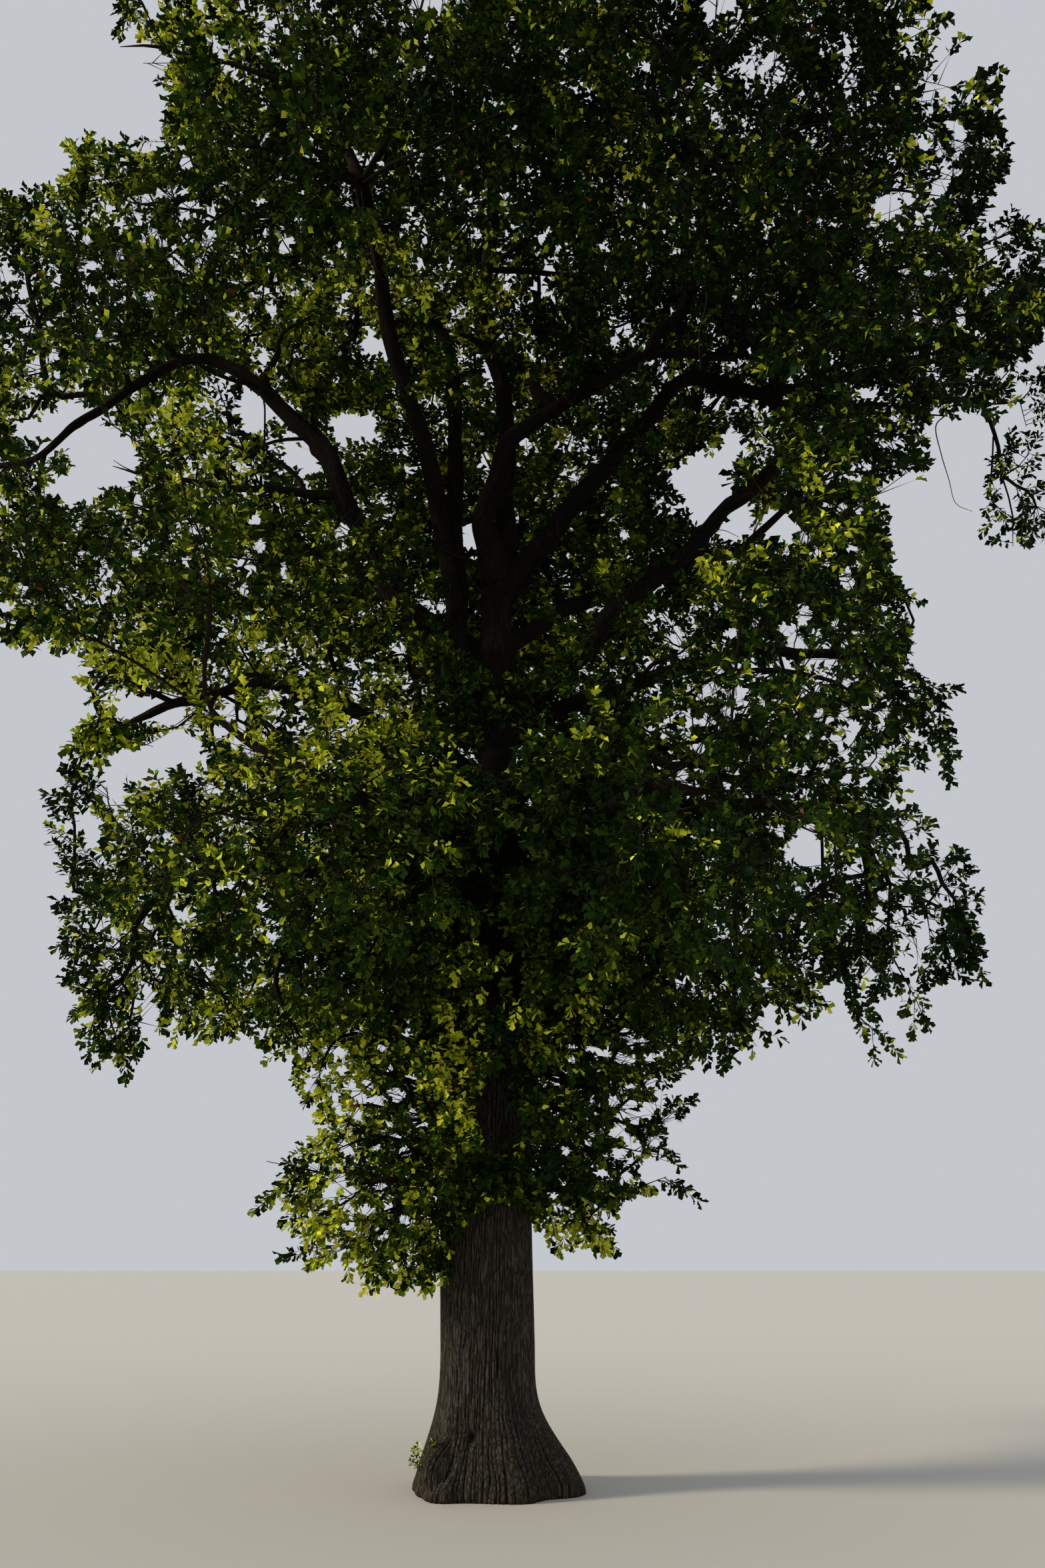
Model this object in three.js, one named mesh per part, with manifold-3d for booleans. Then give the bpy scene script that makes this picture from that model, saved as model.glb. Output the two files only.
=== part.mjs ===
// An old open-grown oak, rooted in the ground: one trunk with a root flare, the boughs that leave it,
// and the separate masses of foliage that the boughs carry. Millimetres, +Z up, origin at the middle of
// the flat cut under the trunk. Bearings are degrees in plan, 0 along +X and 90 along +Y; rises are
// degrees above the level.
import * as THREE from 'three';
import { mergeVertices } from 'three/addons/utils/BufferGeometryUtils.js';
import Module from 'manifold-3d';

const wasm = await Module();
wasm.setup();

const M = 1000; // the tables below are in metres

// ---- driving dimensions -------------------------------------------------------------------------------
const FORK_HEIGHT = 9.6;        // where the trunk divides into its leaders
const BREAST_RADIUS = 0.44;     // bare trunk at 1.3 m
const TRUNK_TOP_RADIUS = 0.175;
const TRUNK_SIDES = 16;
const ROOT_LOBES = [            // buttresses of the root flare: bearing, how far out, half width in degrees
  { bearing: -12, out: 0.38, width: 30 },
  { bearing: 186, out: 0.09, width: 26 },
  { bearing: 238, out: 0.20, width: 24 },
  { bearing: 292, out: 0.22, width: 24 },
  { bearing: 62, out: 0.30, width: 28 },
  { bearing: 128, out: 0.24, width: 26 },
];
const LIMB_SIDES = 6;           // and one fewer on a limb whose foot is thinner than SLENDER
const SLENDER = 0.145;
const LIMB_RINGS = 4;          // straight limbs; those that curve more have `rings` of their own
const LIMB_CLEAR = 0.0006;      // gap between a limb and the trunk or limb that it leaves
const MASS_GAP = 0.02;          // gap between two masses of foliage
const TRUNK_CLEAR = 0.05;       // room that a mass leaves round the trunk
const LUMP_COUNT = 9;           // bulges on each mass
const LUMP_RISE = 0.17;         // mean height of a bulge, as a part of the radius
const LUMP_WIDTH = 0.52;        // radians
const SMALL_MASS = 3.20;        // wide times tall: masses under this take a plainer sphere
const UNDERSIDE = 0.80;         // the lower half of a mass is this much shallower than the upper

// ---- boughs -------------------------------------------------------------------------------------------
// foot: height on the trunk (or the limb it leaves, as `from`, and `along` it); bearing and rise where it
// leaves; reach, toward and top: where it ends; arrive: its rise there; thick and thin: its two radii. A limb
// with crooks has the points that it passes through instead, as `via`, in metres.
const LIMBS = {
  leader_top:        { foot: 9.30, via: [[0.12, 0.22, 10.19], [0.11, 0.28, 12.04], [0.01, 0.28, 12.73], [-0.2, 0.22, 13.28], [-0.1, 0.15, 14.57], [-0.07, 0.13, 16.13]], thick: 0.140, thin: 0.070, rings: 6 },
  leader_left:       { foot: 7.20, via: [[-0.25, 0.12, 7.83], [-0.39, 0.16, 8.69], [-0.45, 0.2, 9.53], [-0.48, 0.3, 11.2], [-0.56, 0.4, 12.45], [-0.96, 0.45, 13.94], [-2.1, 0.4, 15.25]], thick: 0.140, thin: 0.075, rings: 7 },
  leader_right:      { foot: 9.20, via: [[0.45, 0.12, 9.74], [0.92, 0.2, 10.52], [1.44, 0.28, 11.25], [1.98, 0.34, 12.04], [2.53, 0.38, 12.69], [3.54, 0.45, 12.55]], thick: 0.150, thin: 0.085, rings: 6 },
  leader_centre:     { foot: 9.40, via: [[-0.08, -0.1, 9.99], [-0.07, -0.15, 10.28], [0.1, -0.22, 10.73], [0.19, -0.3, 11.14], [0.49, -0.4, 11.38], [0.89, -0.5, 11.58], [1.39, -0.62, 11.8], [1.9, -0.7, 12.08], [3.03, -0.2, 12.5]], thick: 0.160, thin: 0.055, rings: 9 },
  bough_left_great:  { foot: 7.20, via: [[-0.53, 0.02, 8.1], [-0.99, -0.12, 8.87], [-1.39, -0.26, 9.59], [-1.72, -0.38, 10.2], [-2.01, -0.46, 10.9], [-2.42, -0.5, 11.38], [-2.83, -0.52, 11.76]], thick: 0.165, thin: 0.095, rings: 7 },
  bough_left_outer:  { from: 'bough_left_great', along: 1, via: [[-3.3, -0.52, 12.13], [-3.75, -0.5, 12.23], [-4.41, -0.45, 11.83], [-5.02, -0.4, 11.37], [-5.52, -0.3, 10.91], [-6.19, -0.1, 10.88]], thick: 0.095, thin: 0.045, rings: 6 },
  bough_right_great: { foot: 7.55, bearing: 348, rise: 38, reach: 3.50, toward: 356, top: 10.9, arrive: 40, thick: 0.125, thin: 0.080 },
  bough_right_level: { foot: 7.25, bearing: 352, rise: 30, reach: 4.10, toward: 354, top: 8.2, arrive: -10, thick: 0.100, thin: 0.055 },
  bough_right_low: { foot: 5.60, bearing: 358, rise: 30, reach: 3.90, toward: 357, top: 6.10, arrive: -38, thick: 0.105, thin: 0.055, rings: 6 },
  bough_left_mid:    { foot: 6.70, bearing: 178, rise: 42, reach: 4.00, toward: 177, top: 7.8, arrive: -24, thick: 0.110, thin: 0.050, rings: 6 },
  bough_left_low:    { foot: 5.45, bearing: 184, rise: 26, reach: 3.30, toward: 184, top: 5.5, arrive: -22, thick: 0.120, thin: 0.060 },
  bough_front_left_low:  { foot: 5.00, bearing: 236, rise: 30, reach: 3.50, toward: 247, top: 5.6, arrive: -10, thick: 0.105, thin: 0.055 },
  bough_front_right_low: { foot: 5.20, bearing: 306, rise: 30, reach: 3.60, toward: 297, top: 5.6, arrive: -12, thick: 0.105, thin: 0.055 },
  bough_back_left_low:   { foot: 4.80, bearing: 128, rise: 32, reach: 3.40, toward: 131, top: 5.9, arrive: 0, thick: 0.110, thin: 0.060 },
  bough_back_right_low:  { foot: 5.10, bearing: 50, rise: 32, reach: 3.60, toward: 48, top: 5.9, arrive: 0, thick: 0.110, thin: 0.060 },
  bough_front_left_high: { from: 'leader_left', along: 0.34, via: [[-0.59, 0.1, 10.07], [-0.7, 0, 10.57], [-0.83, -0.2, 11.14], [-1.01, -0.4, 11.61], [-1.19, -0.6, 12.13], [-1.3, -0.85, 12.62], [-1.38, -1.4, 12.91], [-1.41, -2.7, 12.69]], thick: 0.125, thin: 0.080, rings: 8 },
  bough_front_right_high: { from: 'leader_centre', along: 0.889, via: [[1.99, -0.85, 12.32], [2.21, -1, 12.46], [2.28, -1.2, 12.55], [2.36, -1.5, 12.66], [2.3, -2.9, 12.8]], thick: 0.078, thin: 0.060, rings: 5 },
  bough_back_left_mid:   { foot: 6.60, bearing: 122, rise: 30, reach: 4.40, toward: 128, top: 8.6, arrive: 12, thick: 0.120, thin: 0.065 },
  bough_back_right_mid:  { foot: 6.90, bearing: 48, rise: 30, reach: 4.50, toward: 52, top: 8.5, arrive: 12, thick: 0.120, thin: 0.065 },
  bough_back_left_high:  { foot: 8.30, bearing: 136, rise: 42, reach: 5.00, toward: 138, top: 12.2, arrive: 30, thick: 0.115, thin: 0.070 },
  bough_back_right_high: { foot: 8.50, bearing: 40, rise: 42, reach: 5.00, toward: 42, top: 12.0, arrive: 30, thick: 0.115, thin: 0.070 },
  bough_back_high:       { foot: 9.00, bearing: 92, rise: 46, reach: 5.00, toward: 91, top: 12.5, arrive: 34, thick: 0.110, thin: 0.065 },
};

// ---- masses of foliage --------------------------------------------------------------------------------
// out, bearing and height: the middle of the mass; wide, deep and tall: its half sizes across the bearing,
// along it and upright; tip: [bearing, rise, how far] of its longest spray, as a part of the radius.
const MASSES = {
  low_left:          { out: 1.02, bearing: 203, height: 2.95, wide: 0.85, deep: 0.88, tall: 1.20, seed: 1, tip: [205, -55, 0.32] },
  low_right:         { out: 1.00, bearing: 342, height: 3.08, wide: 0.85, deep: 0.80, tall: 1.15, seed: 2, tip: [345, -35, 0.28] },
  low_back:          { out: 1.10, bearing: 88, height: 3.50, wide: 1.25, deep: 0.85, tall: 1.15, seed: 3, tip: [100, -40, 0.20] },
  skirt_left:        { out: 2.80, bearing: 185, height: 5.35, wide: 1.60, deep: 1.35, tall: 1.60, seed: 4, tip: [184, -48, 0.20] },
  skirt_left_inner:  { out: 1.85, bearing: 208, height: 4.30, wide: 1.05, deep: 0.95, tall: 1.05, seed: 5, tip: [190, -35, 0.10] },
  skirt_right:       { out: 3.85, bearing: 354, height: 5.15, wide: 1.60, deep: 1.15, tall: 1.10, seed: 6, tip: [358, 2, 0.22] },
  skirt_right_inner: { out: 2.05, bearing: 340, height: 4.60, wide: 1.10, deep: 1.05, tall: 1.15, seed: 7, tip: [330, -50, 0.14] },
  skirt_front_left:  { out: 3.35, bearing: 245, height: 5.05, wide: 1.65, deep: 1.45, tall: 1.20, seed: 8, tip: [250, -20, 0.10] },
  skirt_front_right: { out: 3.45, bearing: 297, height: 5.00, wide: 1.65, deep: 1.45, tall: 1.20, seed: 9, tip: [300, -30, 0.10] },
  skirt_back_left:   { out: 3.55, bearing: 135, height: 5.80, wide: 2.00, deep: 1.65, tall: 1.75, seed: 10, tip: [135, -20, 0.12] },
  skirt_back:        { out: 3.55, bearing: 88, height: 5.60, wide: 1.75, deep: 1.55, tall: 1.60, seed: 38, tip: [88, -20, 0.12] },
  skirt_back_right:  { out: 3.65, bearing: 42, height: 5.70, wide: 2.00, deep: 1.65, tall: 1.75, seed: 11, tip: [40, -20, 0.12] },
  mid_left:          { out: 3.95, bearing: 206, height: 8.50, wide: 1.85, deep: 1.15, tall: 1.00, seed: 12, tip: [190, -20, 0.10] },
  mid_left_outer:    { out: 6.00, bearing: 178, height: 9.85, wide: 1.80, deep: 1.25, tall: 1.20, seed: 13, tip: [180, -30, 0.12] },
  mid_left_small:    { out: 4.15, bearing: 179, height: 7.70, wide: 0.85, deep: 0.72, tall: 0.68, seed: 14, tip: [185, -30, 0.15] },
  mid_right:         { out: 3.75, bearing: 339, height: 7.60, wide: 1.80, deep: 1.15, tall: 1.25, seed: 15, tip: [350, -30, 0.16] },
  mid_right_upper:   { out: 3.85, bearing: 352, height: 10.00, wide: 1.55, deep: 1.10, tall: 1.15, seed: 16, tip: [350, 10, 0.12] },
  mid_right_hanging: { out: 6.45, bearing: 358, height: 10.65, wide: 0.60, deep: 0.52, tall: 1.00, seed: 17, tip: [0, -80, 0.15] },
  mid_back_left:     { out: 4.60, bearing: 140, height: 8.90, wide: 2.35, deep: 1.95, tall: 2.00, seed: 18, tip: [140, -10, 0.12] },
  mid_back:          { out: 4.70, bearing: 91, height: 9.00, wide: 2.20, deep: 1.85, tall: 1.95, seed: 19, tip: [90, -10, 0.12] },
  mid_back_right:    { out: 4.70, bearing: 41, height: 8.75, wide: 2.35, deep: 1.95, tall: 2.05, seed: 20, tip: [40, -10, 0.12] },
  high_left:         { out: 5.35, bearing: 183, height: 13.50, wide: 2.20, deep: 1.95, tall: 1.32, seed: 21, tip: [190, 20, 0.10] },
  high_side_left:    { out: 4.85, bearing: 204, height: 12.00, wide: 1.95, deep: 1.55, tall: 1.02, seed: 39, tip: [205, 0, 0.10] },
  high_front_left:   { out: 4.50, bearing: 252, height: 11.95, wide: 1.75, deep: 1.90, tall: 2.15, seed: 22, tip: [225, 20, 0.08] },
  high_front_right:  { out: 4.70, bearing: 295, height: 11.95, wide: 1.95, deep: 1.90, tall: 2.15, seed: 24, tip: [300, 20, 0.08] },
  high_side_right:   { out: 5.00, bearing: 331, height: 12.20, wide: 1.95, deep: 1.70, tall: 1.60, seed: 40, tip: [345, 20, 0.14] },
  high_right:        { out: 5.30, bearing: 357, height: 13.35, wide: 2.20, deep: 1.90, tall: 1.60, seed: 25, tip: [350, 20, 0.10] },
  high_right_inner:  { out: 3.35, bearing: 8, height: 13.05, wide: 1.35, deep: 1.10, tall: 1.00, seed: 37, tip: [180, 10, 0.10] },
  high_back_right:   { out: 5.20, bearing: 40, height: 12.40, wide: 2.40, deep: 2.15, tall: 2.35, seed: 28, tip: [40, 10, 0.10] },
  high_back:         { out: 5.15, bearing: 91, height: 12.60, wide: 2.40, deep: 2.10, tall: 2.35, seed: 27, tip: [90, 10, 0.10] },
  high_back_left:    { out: 5.05, bearing: 137, height: 12.40, wide: 2.25, deep: 2.15, tall: 2.35, seed: 26, tip: [140, 10, 0.10] },
  top_left:          { out: 3.30, bearing: 176, height: 15.65, wide: 2.30, deep: 2.20, tall: 2.00, seed: 29, tip: [175, 25, 0.10] },
  top_front:         { out: 3.20, bearing: 270, height: 15.35, wide: 2.50, deep: 2.05, tall: 1.95, seed: 31, tip: [265, 25, 0.10] },
  top_right:         { out: 3.30, bearing: 2, height: 15.60, wide: 2.30, deep: 2.20, tall: 1.95, seed: 30, tip: [5, 25, 0.10] },
  top_back_right:    { out: 3.30, bearing: 60, height: 15.60, wide: 2.20, deep: 2.20, tall: 2.05, seed: 34, tip: [60, 20, 0.10] },
  top_back_left:     { out: 3.30, bearing: 120, height: 15.75, wide: 2.20, deep: 2.20, tall: 2.05, seed: 33, tip: [120, 20, 0.10] },
  top_crown:         { out: 0.15, bearing: 120, height: 16.80, wide: 2.15, deep: 2.15, tall: 1.75, seed: 35, tip: [120, 80, 0.10] },
};

// ---- small helpers ------------------------------------------------------------------------------------
const rad = THREE.MathUtils.degToRad;
const heading = (bearing, rise) => new THREE.Vector3(
  Math.cos(rad(bearing)) * Math.cos(rad(rise)), Math.sin(rad(bearing)) * Math.cos(rad(rise)), Math.sin(rad(rise)));
const at = (out, bearing, height) => new THREE.Vector3(out * Math.cos(rad(bearing)), out * Math.sin(rad(bearing)), height);
const smooth = (a, b, x) => { const t = Math.min(1, Math.max(0, (x - a) / (b - a))); return t * t * (3 - 2 * t); };
const seeded = (seed) => () => {
  seed = (seed + 0x6D2B79F5) | 0;
  let t = Math.imul(seed ^ (seed >>> 15), 1 | seed);
  t = (t + Math.imul(t ^ (t >>> 7), 61 | t)) ^ t;
  return ((t ^ (t >>> 14)) >>> 0) / 4294967296;
};

function toManifold(geometry) {
  const g = geometry.index ? geometry.clone() : geometry;
  g.deleteAttribute('normal');
  g.deleteAttribute('uv');
  const m = mergeVertices(g, 1e-4);
  return new wasm.Manifold(new wasm.Mesh({
    numProp: 3, vertProperties: new Float32Array(m.attributes.position.array), triVerts: new Uint32Array(m.index.array) }));
}

function toGeometry(solid) {
  const mesh = solid.getMesh();
  const g = new THREE.BufferGeometry();
  g.setAttribute('position', new THREE.BufferAttribute(new Float32Array(mesh.vertProperties), 3));
  g.setIndex(new THREE.BufferAttribute(new Uint32Array(mesh.triVerts), 1));
  g.computeVertexNormals();
  return g;
}

// ---- the trunk ----------------------------------------------------------------------------------------
const trunkAxis = (z) => new THREE.Vector3(
  0.055 * smooth(2.2, 5.5, z) - 0.015 * smooth(7.0, 9.0, z), 0.10 * smooth(3.0, 9.0, z), z);
const trunkRadius = (z) => {
  const bole = BREAST_RADIUS - 0.02 * smooth(2.4, 3.6, z) - 0.215 * smooth(3.6, 7.3, z);
  return bole - (BREAST_RADIUS - 0.235 - TRUNK_TOP_RADIUS) * smooth(7.4, FORK_HEIGHT, z);
};
function flareAt(angle, z) {
  const fade = Math.pow(1 - smooth(0, 1.15, z), 2.1);
  let out = 0.10 * fade;
  for (const lobe of ROOT_LOBES) {
    const off = Math.atan2(Math.sin(angle - rad(lobe.bearing)), Math.cos(angle - rad(lobe.bearing)));
    out += lobe.out * fade * Math.exp(-Math.pow(off / rad(lobe.width), 2));
  }
  return out;
}
function trunkSolid(grow = 0, sides = TRUNK_SIDES) {
  const levels = sides < TRUNK_SIDES ? [0, 0.6, 2.4, 4.6, 6.8, FORK_HEIGHT] : [0, 0.1, 0.22, 0.38, 0.58, 0.86, 1.3, 2.4, 3.6, 4.8, 6.0, 7.3, FORK_HEIGHT];
  const profile = [new THREE.Vector2(0, (levels[0] - grow))];
  for (const z of levels) profile.push(new THREE.Vector2(1, z === 0 ? z - grow : z === FORK_HEIGHT ? z + grow : z));
  profile.push(new THREE.Vector2(0, FORK_HEIGHT + grow));
  const g = new THREE.LatheGeometry(profile, sides);
  const p = g.attributes.position;
  for (let i = 0; i < p.count; i++) {
    const x = p.getX(i), y = p.getZ(i), z = p.getY(i);       // the lathe turns about its own Y
    const unit = Math.hypot(x, y), angle = Math.atan2(-y, x), c = trunkAxis(Math.max(0, z));
    const r = unit < 0.5 ? 0 : trunkRadius(z) + flareAt(angle, z) + grow
      + 0.012 * Math.sin(3 * angle + 1.9 * z) * smooth(0.4, 1.2, z);
    p.setXYZ(i, (c.x + r * Math.cos(angle)) * M, (c.y + r * Math.sin(angle)) * M, z * M);
  }
  return toManifold(g);
}
const trunk = trunkSolid();
const trunkGrown = trunkSolid(LIMB_CLEAR);
const trunkRoom = trunkSolid(TRUNK_CLEAR, 10);

// ---- limbs: a tapering cylinder bent along a curve ----------------------------------------------------
function limbCurve(name) {
  const d = LIMBS[name];
  const start = d.from ? limbCurve(d.from).getPoint(d.along) : trunkAxis(d.foot);
  if (d.via) return new THREE.CatmullRomCurve3([start, ...d.via.map((p) => new THREE.Vector3(...p))], false, 'catmullrom', 0.5);
  const end = at(d.reach, d.toward, d.top);
  const pull = start.distanceTo(end) * 0.38;
  return new THREE.CubicBezierCurve3(start, start.clone().addScaledVector(heading(d.bearing, d.rise), pull),
    end.clone().addScaledVector(heading(d.toward, d.arrive), -pull), end);
}
function limbSolid(name, grow = 0) {
  const d = LIMBS[name], curve = limbCurve(name);
  const g = new THREE.CylinderGeometry(1, 1, 1, d.thick < SLENDER ? LIMB_SIDES - 1 : LIMB_SIDES, d.rings ?? LIMB_RINGS);
  const p = g.attributes.position, side = new THREE.Vector3(), up = new THREE.Vector3();
  for (let i = 0; i < p.count; i++) {
    const t = p.getY(i) + 0.5, c = curve.getPoint(t), along = curve.getTangent(t);
    side.crossVectors(along, new THREE.Vector3(0.31, 0.27, Math.abs(along.z) > 0.9 ? 0 : 1)).normalize();
    up.crossVectors(side, along).normalize();
    const r = THREE.MathUtils.lerp(d.thick, d.thin, Math.pow(t, 0.8)) + grow;
    c.addScaledVector(side, p.getX(i) * r).addScaledVector(up, p.getZ(i) * r);
    if (grow && t === 0) c.addScaledVector(along, -grow);
    if (grow && t === 1) c.addScaledVector(along, grow);
    p.setXYZ(i, c.x * M, c.y * M, c.z * M);
  }
  return toManifold(g);
}

// ---- masses: an icosahedron's sphere with seeded bulges, a flatter underside and one long spray --------
const massCentre = (name) => at(MASSES[name].out, MASSES[name].bearing, MASSES[name].height);
function massShape(name) {
  const d = MASSES[name], random = seeded(d.seed * 7919), lumps = [];
  for (let i = 0; i < LUMP_COUNT; i++) {
    const z = -0.75 + 1.7 * random(), a = 360 * random();
    lumps.push({ dir: heading(a, THREE.MathUtils.radToDeg(Math.asin(Math.min(1, z)))), rise: LUMP_RISE * (0.55 + 0.9 * random()) });
  }
  const tip = heading(d.tip[0], d.tip[1]), turn = rad(d.bearing);
  return (dir) => {
    let k = 0.90;
    for (const l of lumps) k += l.rise * Math.exp(-Math.pow(dir.angleTo(l.dir) / LUMP_WIDTH, 2));
    k = Math.min(k, 1.16) + d.tip[2] * Math.exp(-Math.pow(dir.angleTo(tip) / 0.42, 2));
    // unit direction to the ellipsoid whose long axis lies along the bearing
    const along = dir.x * Math.cos(turn) + dir.y * Math.sin(turn), across = -dir.x * Math.sin(turn) + dir.y * Math.cos(turn);
    const tall = dir.z < 0 ? d.tall * UNDERSIDE : d.tall;
    return new THREE.Vector3(
      (along * d.deep * Math.cos(turn) - across * d.wide * Math.sin(turn)) * k,
      (along * d.deep * Math.sin(turn) + across * d.wide * Math.cos(turn)) * k, dir.z * tall * k);
  };
}
function massSolid(name) {
  const shape = massShape(name), c = massCentre(name);
  const g = mergeVertices((() => { const s = MASSES[name].tall * MASSES[name].wide < SMALL_MASS ? new THREE.OctahedronGeometry(1, 3) : new THREE.IcosahedronGeometry(1, 2); s.deleteAttribute('normal'); s.deleteAttribute('uv'); return s; })(), 1e-4);
  const p = g.attributes.position, dir = new THREE.Vector3();
  for (let i = 0; i < p.count; i++) {
    dir.fromBufferAttribute(p, i).normalize();
    const v = shape(dir).add(c);
    p.setXYZ(i, v.x * M, v.y * M, v.z * M);
  }
  return toManifold(g);
}
const massReach = (name, dir) => {   // how far the plain ellipsoid reaches in a direction
  const d = MASSES[name], turn = rad(d.bearing);
  const along = dir.x * Math.cos(turn) + dir.y * Math.sin(turn), across = -dir.x * Math.sin(turn) + dir.y * Math.cos(turn);
  const tall = dir.z < 0 ? d.tall * UNDERSIDE : d.tall;
  return 1 / Math.hypot(along / d.deep, across / d.wide, dir.z / tall);
};
function largest(solid) {
  const bodies = solid.decompose();
  return bodies.reduce((a, b) => (b.volume() > a.volume() ? b : a), bodies[0]);
}

// each pair of masses that would meet is parted by a plane, so that both keep a rounded shape
const solids = {};
for (const name of Object.keys(MASSES)) {
  let solid = massSolid(name);
  const c = massCentre(name);
  for (const other of Object.keys(MASSES)) {
    if (other === name) continue;
    const way = massCentre(other).sub(c), gap = way.length();
    way.normalize();
    const mine = massReach(name, way), theirs = massReach(other, way.clone().negate());
    if (gap > 1.3 * (mine + theirs)) continue;
    const cut = gap * mine / (mine + theirs) - MASS_GAP / 2;
    const n = way.clone().negate();
    solid = solid.trimByPlane([n.x, n.y, n.z], (n.dot(c) - cut) * M);
  }
  if (MASSES[name].out < 3) solid = solid.subtract(trunkRoom);
  solids[name] = largest(solid);
}

// ---- limbs end where they enter a mass ----------------------------------------------------------------
const grownMass = {};
for (const [name, solid] of Object.entries(solids)) {
  const c = massCentre(name);
  const t = solid.translate([-c.x * M, -c.y * M, -c.z * M]).scale([1.0012, 1.0012, 1.0012]);
  grownMass[name] = t.translate([c.x * M, c.y * M, c.z * M]);
}
const limbs = {};
for (const name of Object.keys(LIMBS)) {
  let solid = limbSolid(name).subtract(trunkGrown);
  for (const made of Object.keys(limbs)) solid = solid.subtract(limbSolid(made, LIMB_CLEAR));
  for (const mass of Object.keys(grownMass)) solid = solid.subtract(grownMass[mass]);
  // keep the stretch nearest to the foot
  const foot = limbCurve(name).getPoint(0).multiplyScalar(M);
  let best = null, near = Infinity;
  for (const body of solid.decompose()) {
    if (body.volume() < 2e5) continue;
    const m = body.getMesh().vertProperties;
    let d = Infinity;
    for (let i = 0; i < m.length; i += 3) d = Math.min(d, Math.hypot(m[i] - foot.x, m[i + 1] - foot.y, m[i + 2] - foot.z));
    if (d < near) { near = d; best = body; }
  }
  limbs[name] = best;
}

// ---- the assembly -------------------------------------------------------------------------------------
const barkLook = { color: 0x4a4038, roughness: 0.95, metalness: 0 };
const leafTones = [0x3f5a1e, 0x47631f, 0x38521c, 0x506a26];
const group = new THREE.Group();
function add(name, solid, look) {
  const mesh = new THREE.Mesh(toGeometry(solid), new THREE.MeshStandardMaterial(look));
  mesh.name = name;
  group.add(mesh);
}
add('trunk', trunk, barkLook);
for (const [name, solid] of Object.entries(limbs)) add(name, solid, barkLook);
Object.entries(solids).forEach(([name, solid], i) =>
  add('foliage_' + name, solid, { color: leafTones[i % leafTones.length], roughness: 0.8, metalness: 0, flatShading: true }));

export default group;
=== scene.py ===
"""An old open-grown oak: bark-relief trunk and boughs, branches and twigs that grow on from the boughs by a
seeded rule, and sprays of lobed leaves in place of the plain foliage masses. Metres, +Z up, the CAD frame."""
import math

import bpy
import numpy as np
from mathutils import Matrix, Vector
from mathutils.bvhtree import BVHTree


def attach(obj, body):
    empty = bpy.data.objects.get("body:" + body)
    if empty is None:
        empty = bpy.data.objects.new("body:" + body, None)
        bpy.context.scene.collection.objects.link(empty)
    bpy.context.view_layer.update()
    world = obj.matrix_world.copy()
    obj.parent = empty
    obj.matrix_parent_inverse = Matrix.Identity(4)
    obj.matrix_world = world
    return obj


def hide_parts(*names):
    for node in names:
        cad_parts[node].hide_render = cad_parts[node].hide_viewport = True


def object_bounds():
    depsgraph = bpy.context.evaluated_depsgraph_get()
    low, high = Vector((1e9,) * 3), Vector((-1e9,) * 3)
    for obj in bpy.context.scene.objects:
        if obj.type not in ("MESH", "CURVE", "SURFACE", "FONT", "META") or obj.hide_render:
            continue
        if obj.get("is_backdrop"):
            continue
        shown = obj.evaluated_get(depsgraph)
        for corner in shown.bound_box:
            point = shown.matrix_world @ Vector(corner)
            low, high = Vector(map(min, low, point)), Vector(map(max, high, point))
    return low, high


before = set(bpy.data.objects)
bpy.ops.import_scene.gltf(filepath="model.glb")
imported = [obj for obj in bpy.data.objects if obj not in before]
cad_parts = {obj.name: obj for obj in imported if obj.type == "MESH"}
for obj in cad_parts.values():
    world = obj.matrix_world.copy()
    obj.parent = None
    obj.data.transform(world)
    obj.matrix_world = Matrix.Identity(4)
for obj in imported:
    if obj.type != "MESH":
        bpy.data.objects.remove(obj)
cad_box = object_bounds()
rng = np.random.default_rng(7193)

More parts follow.
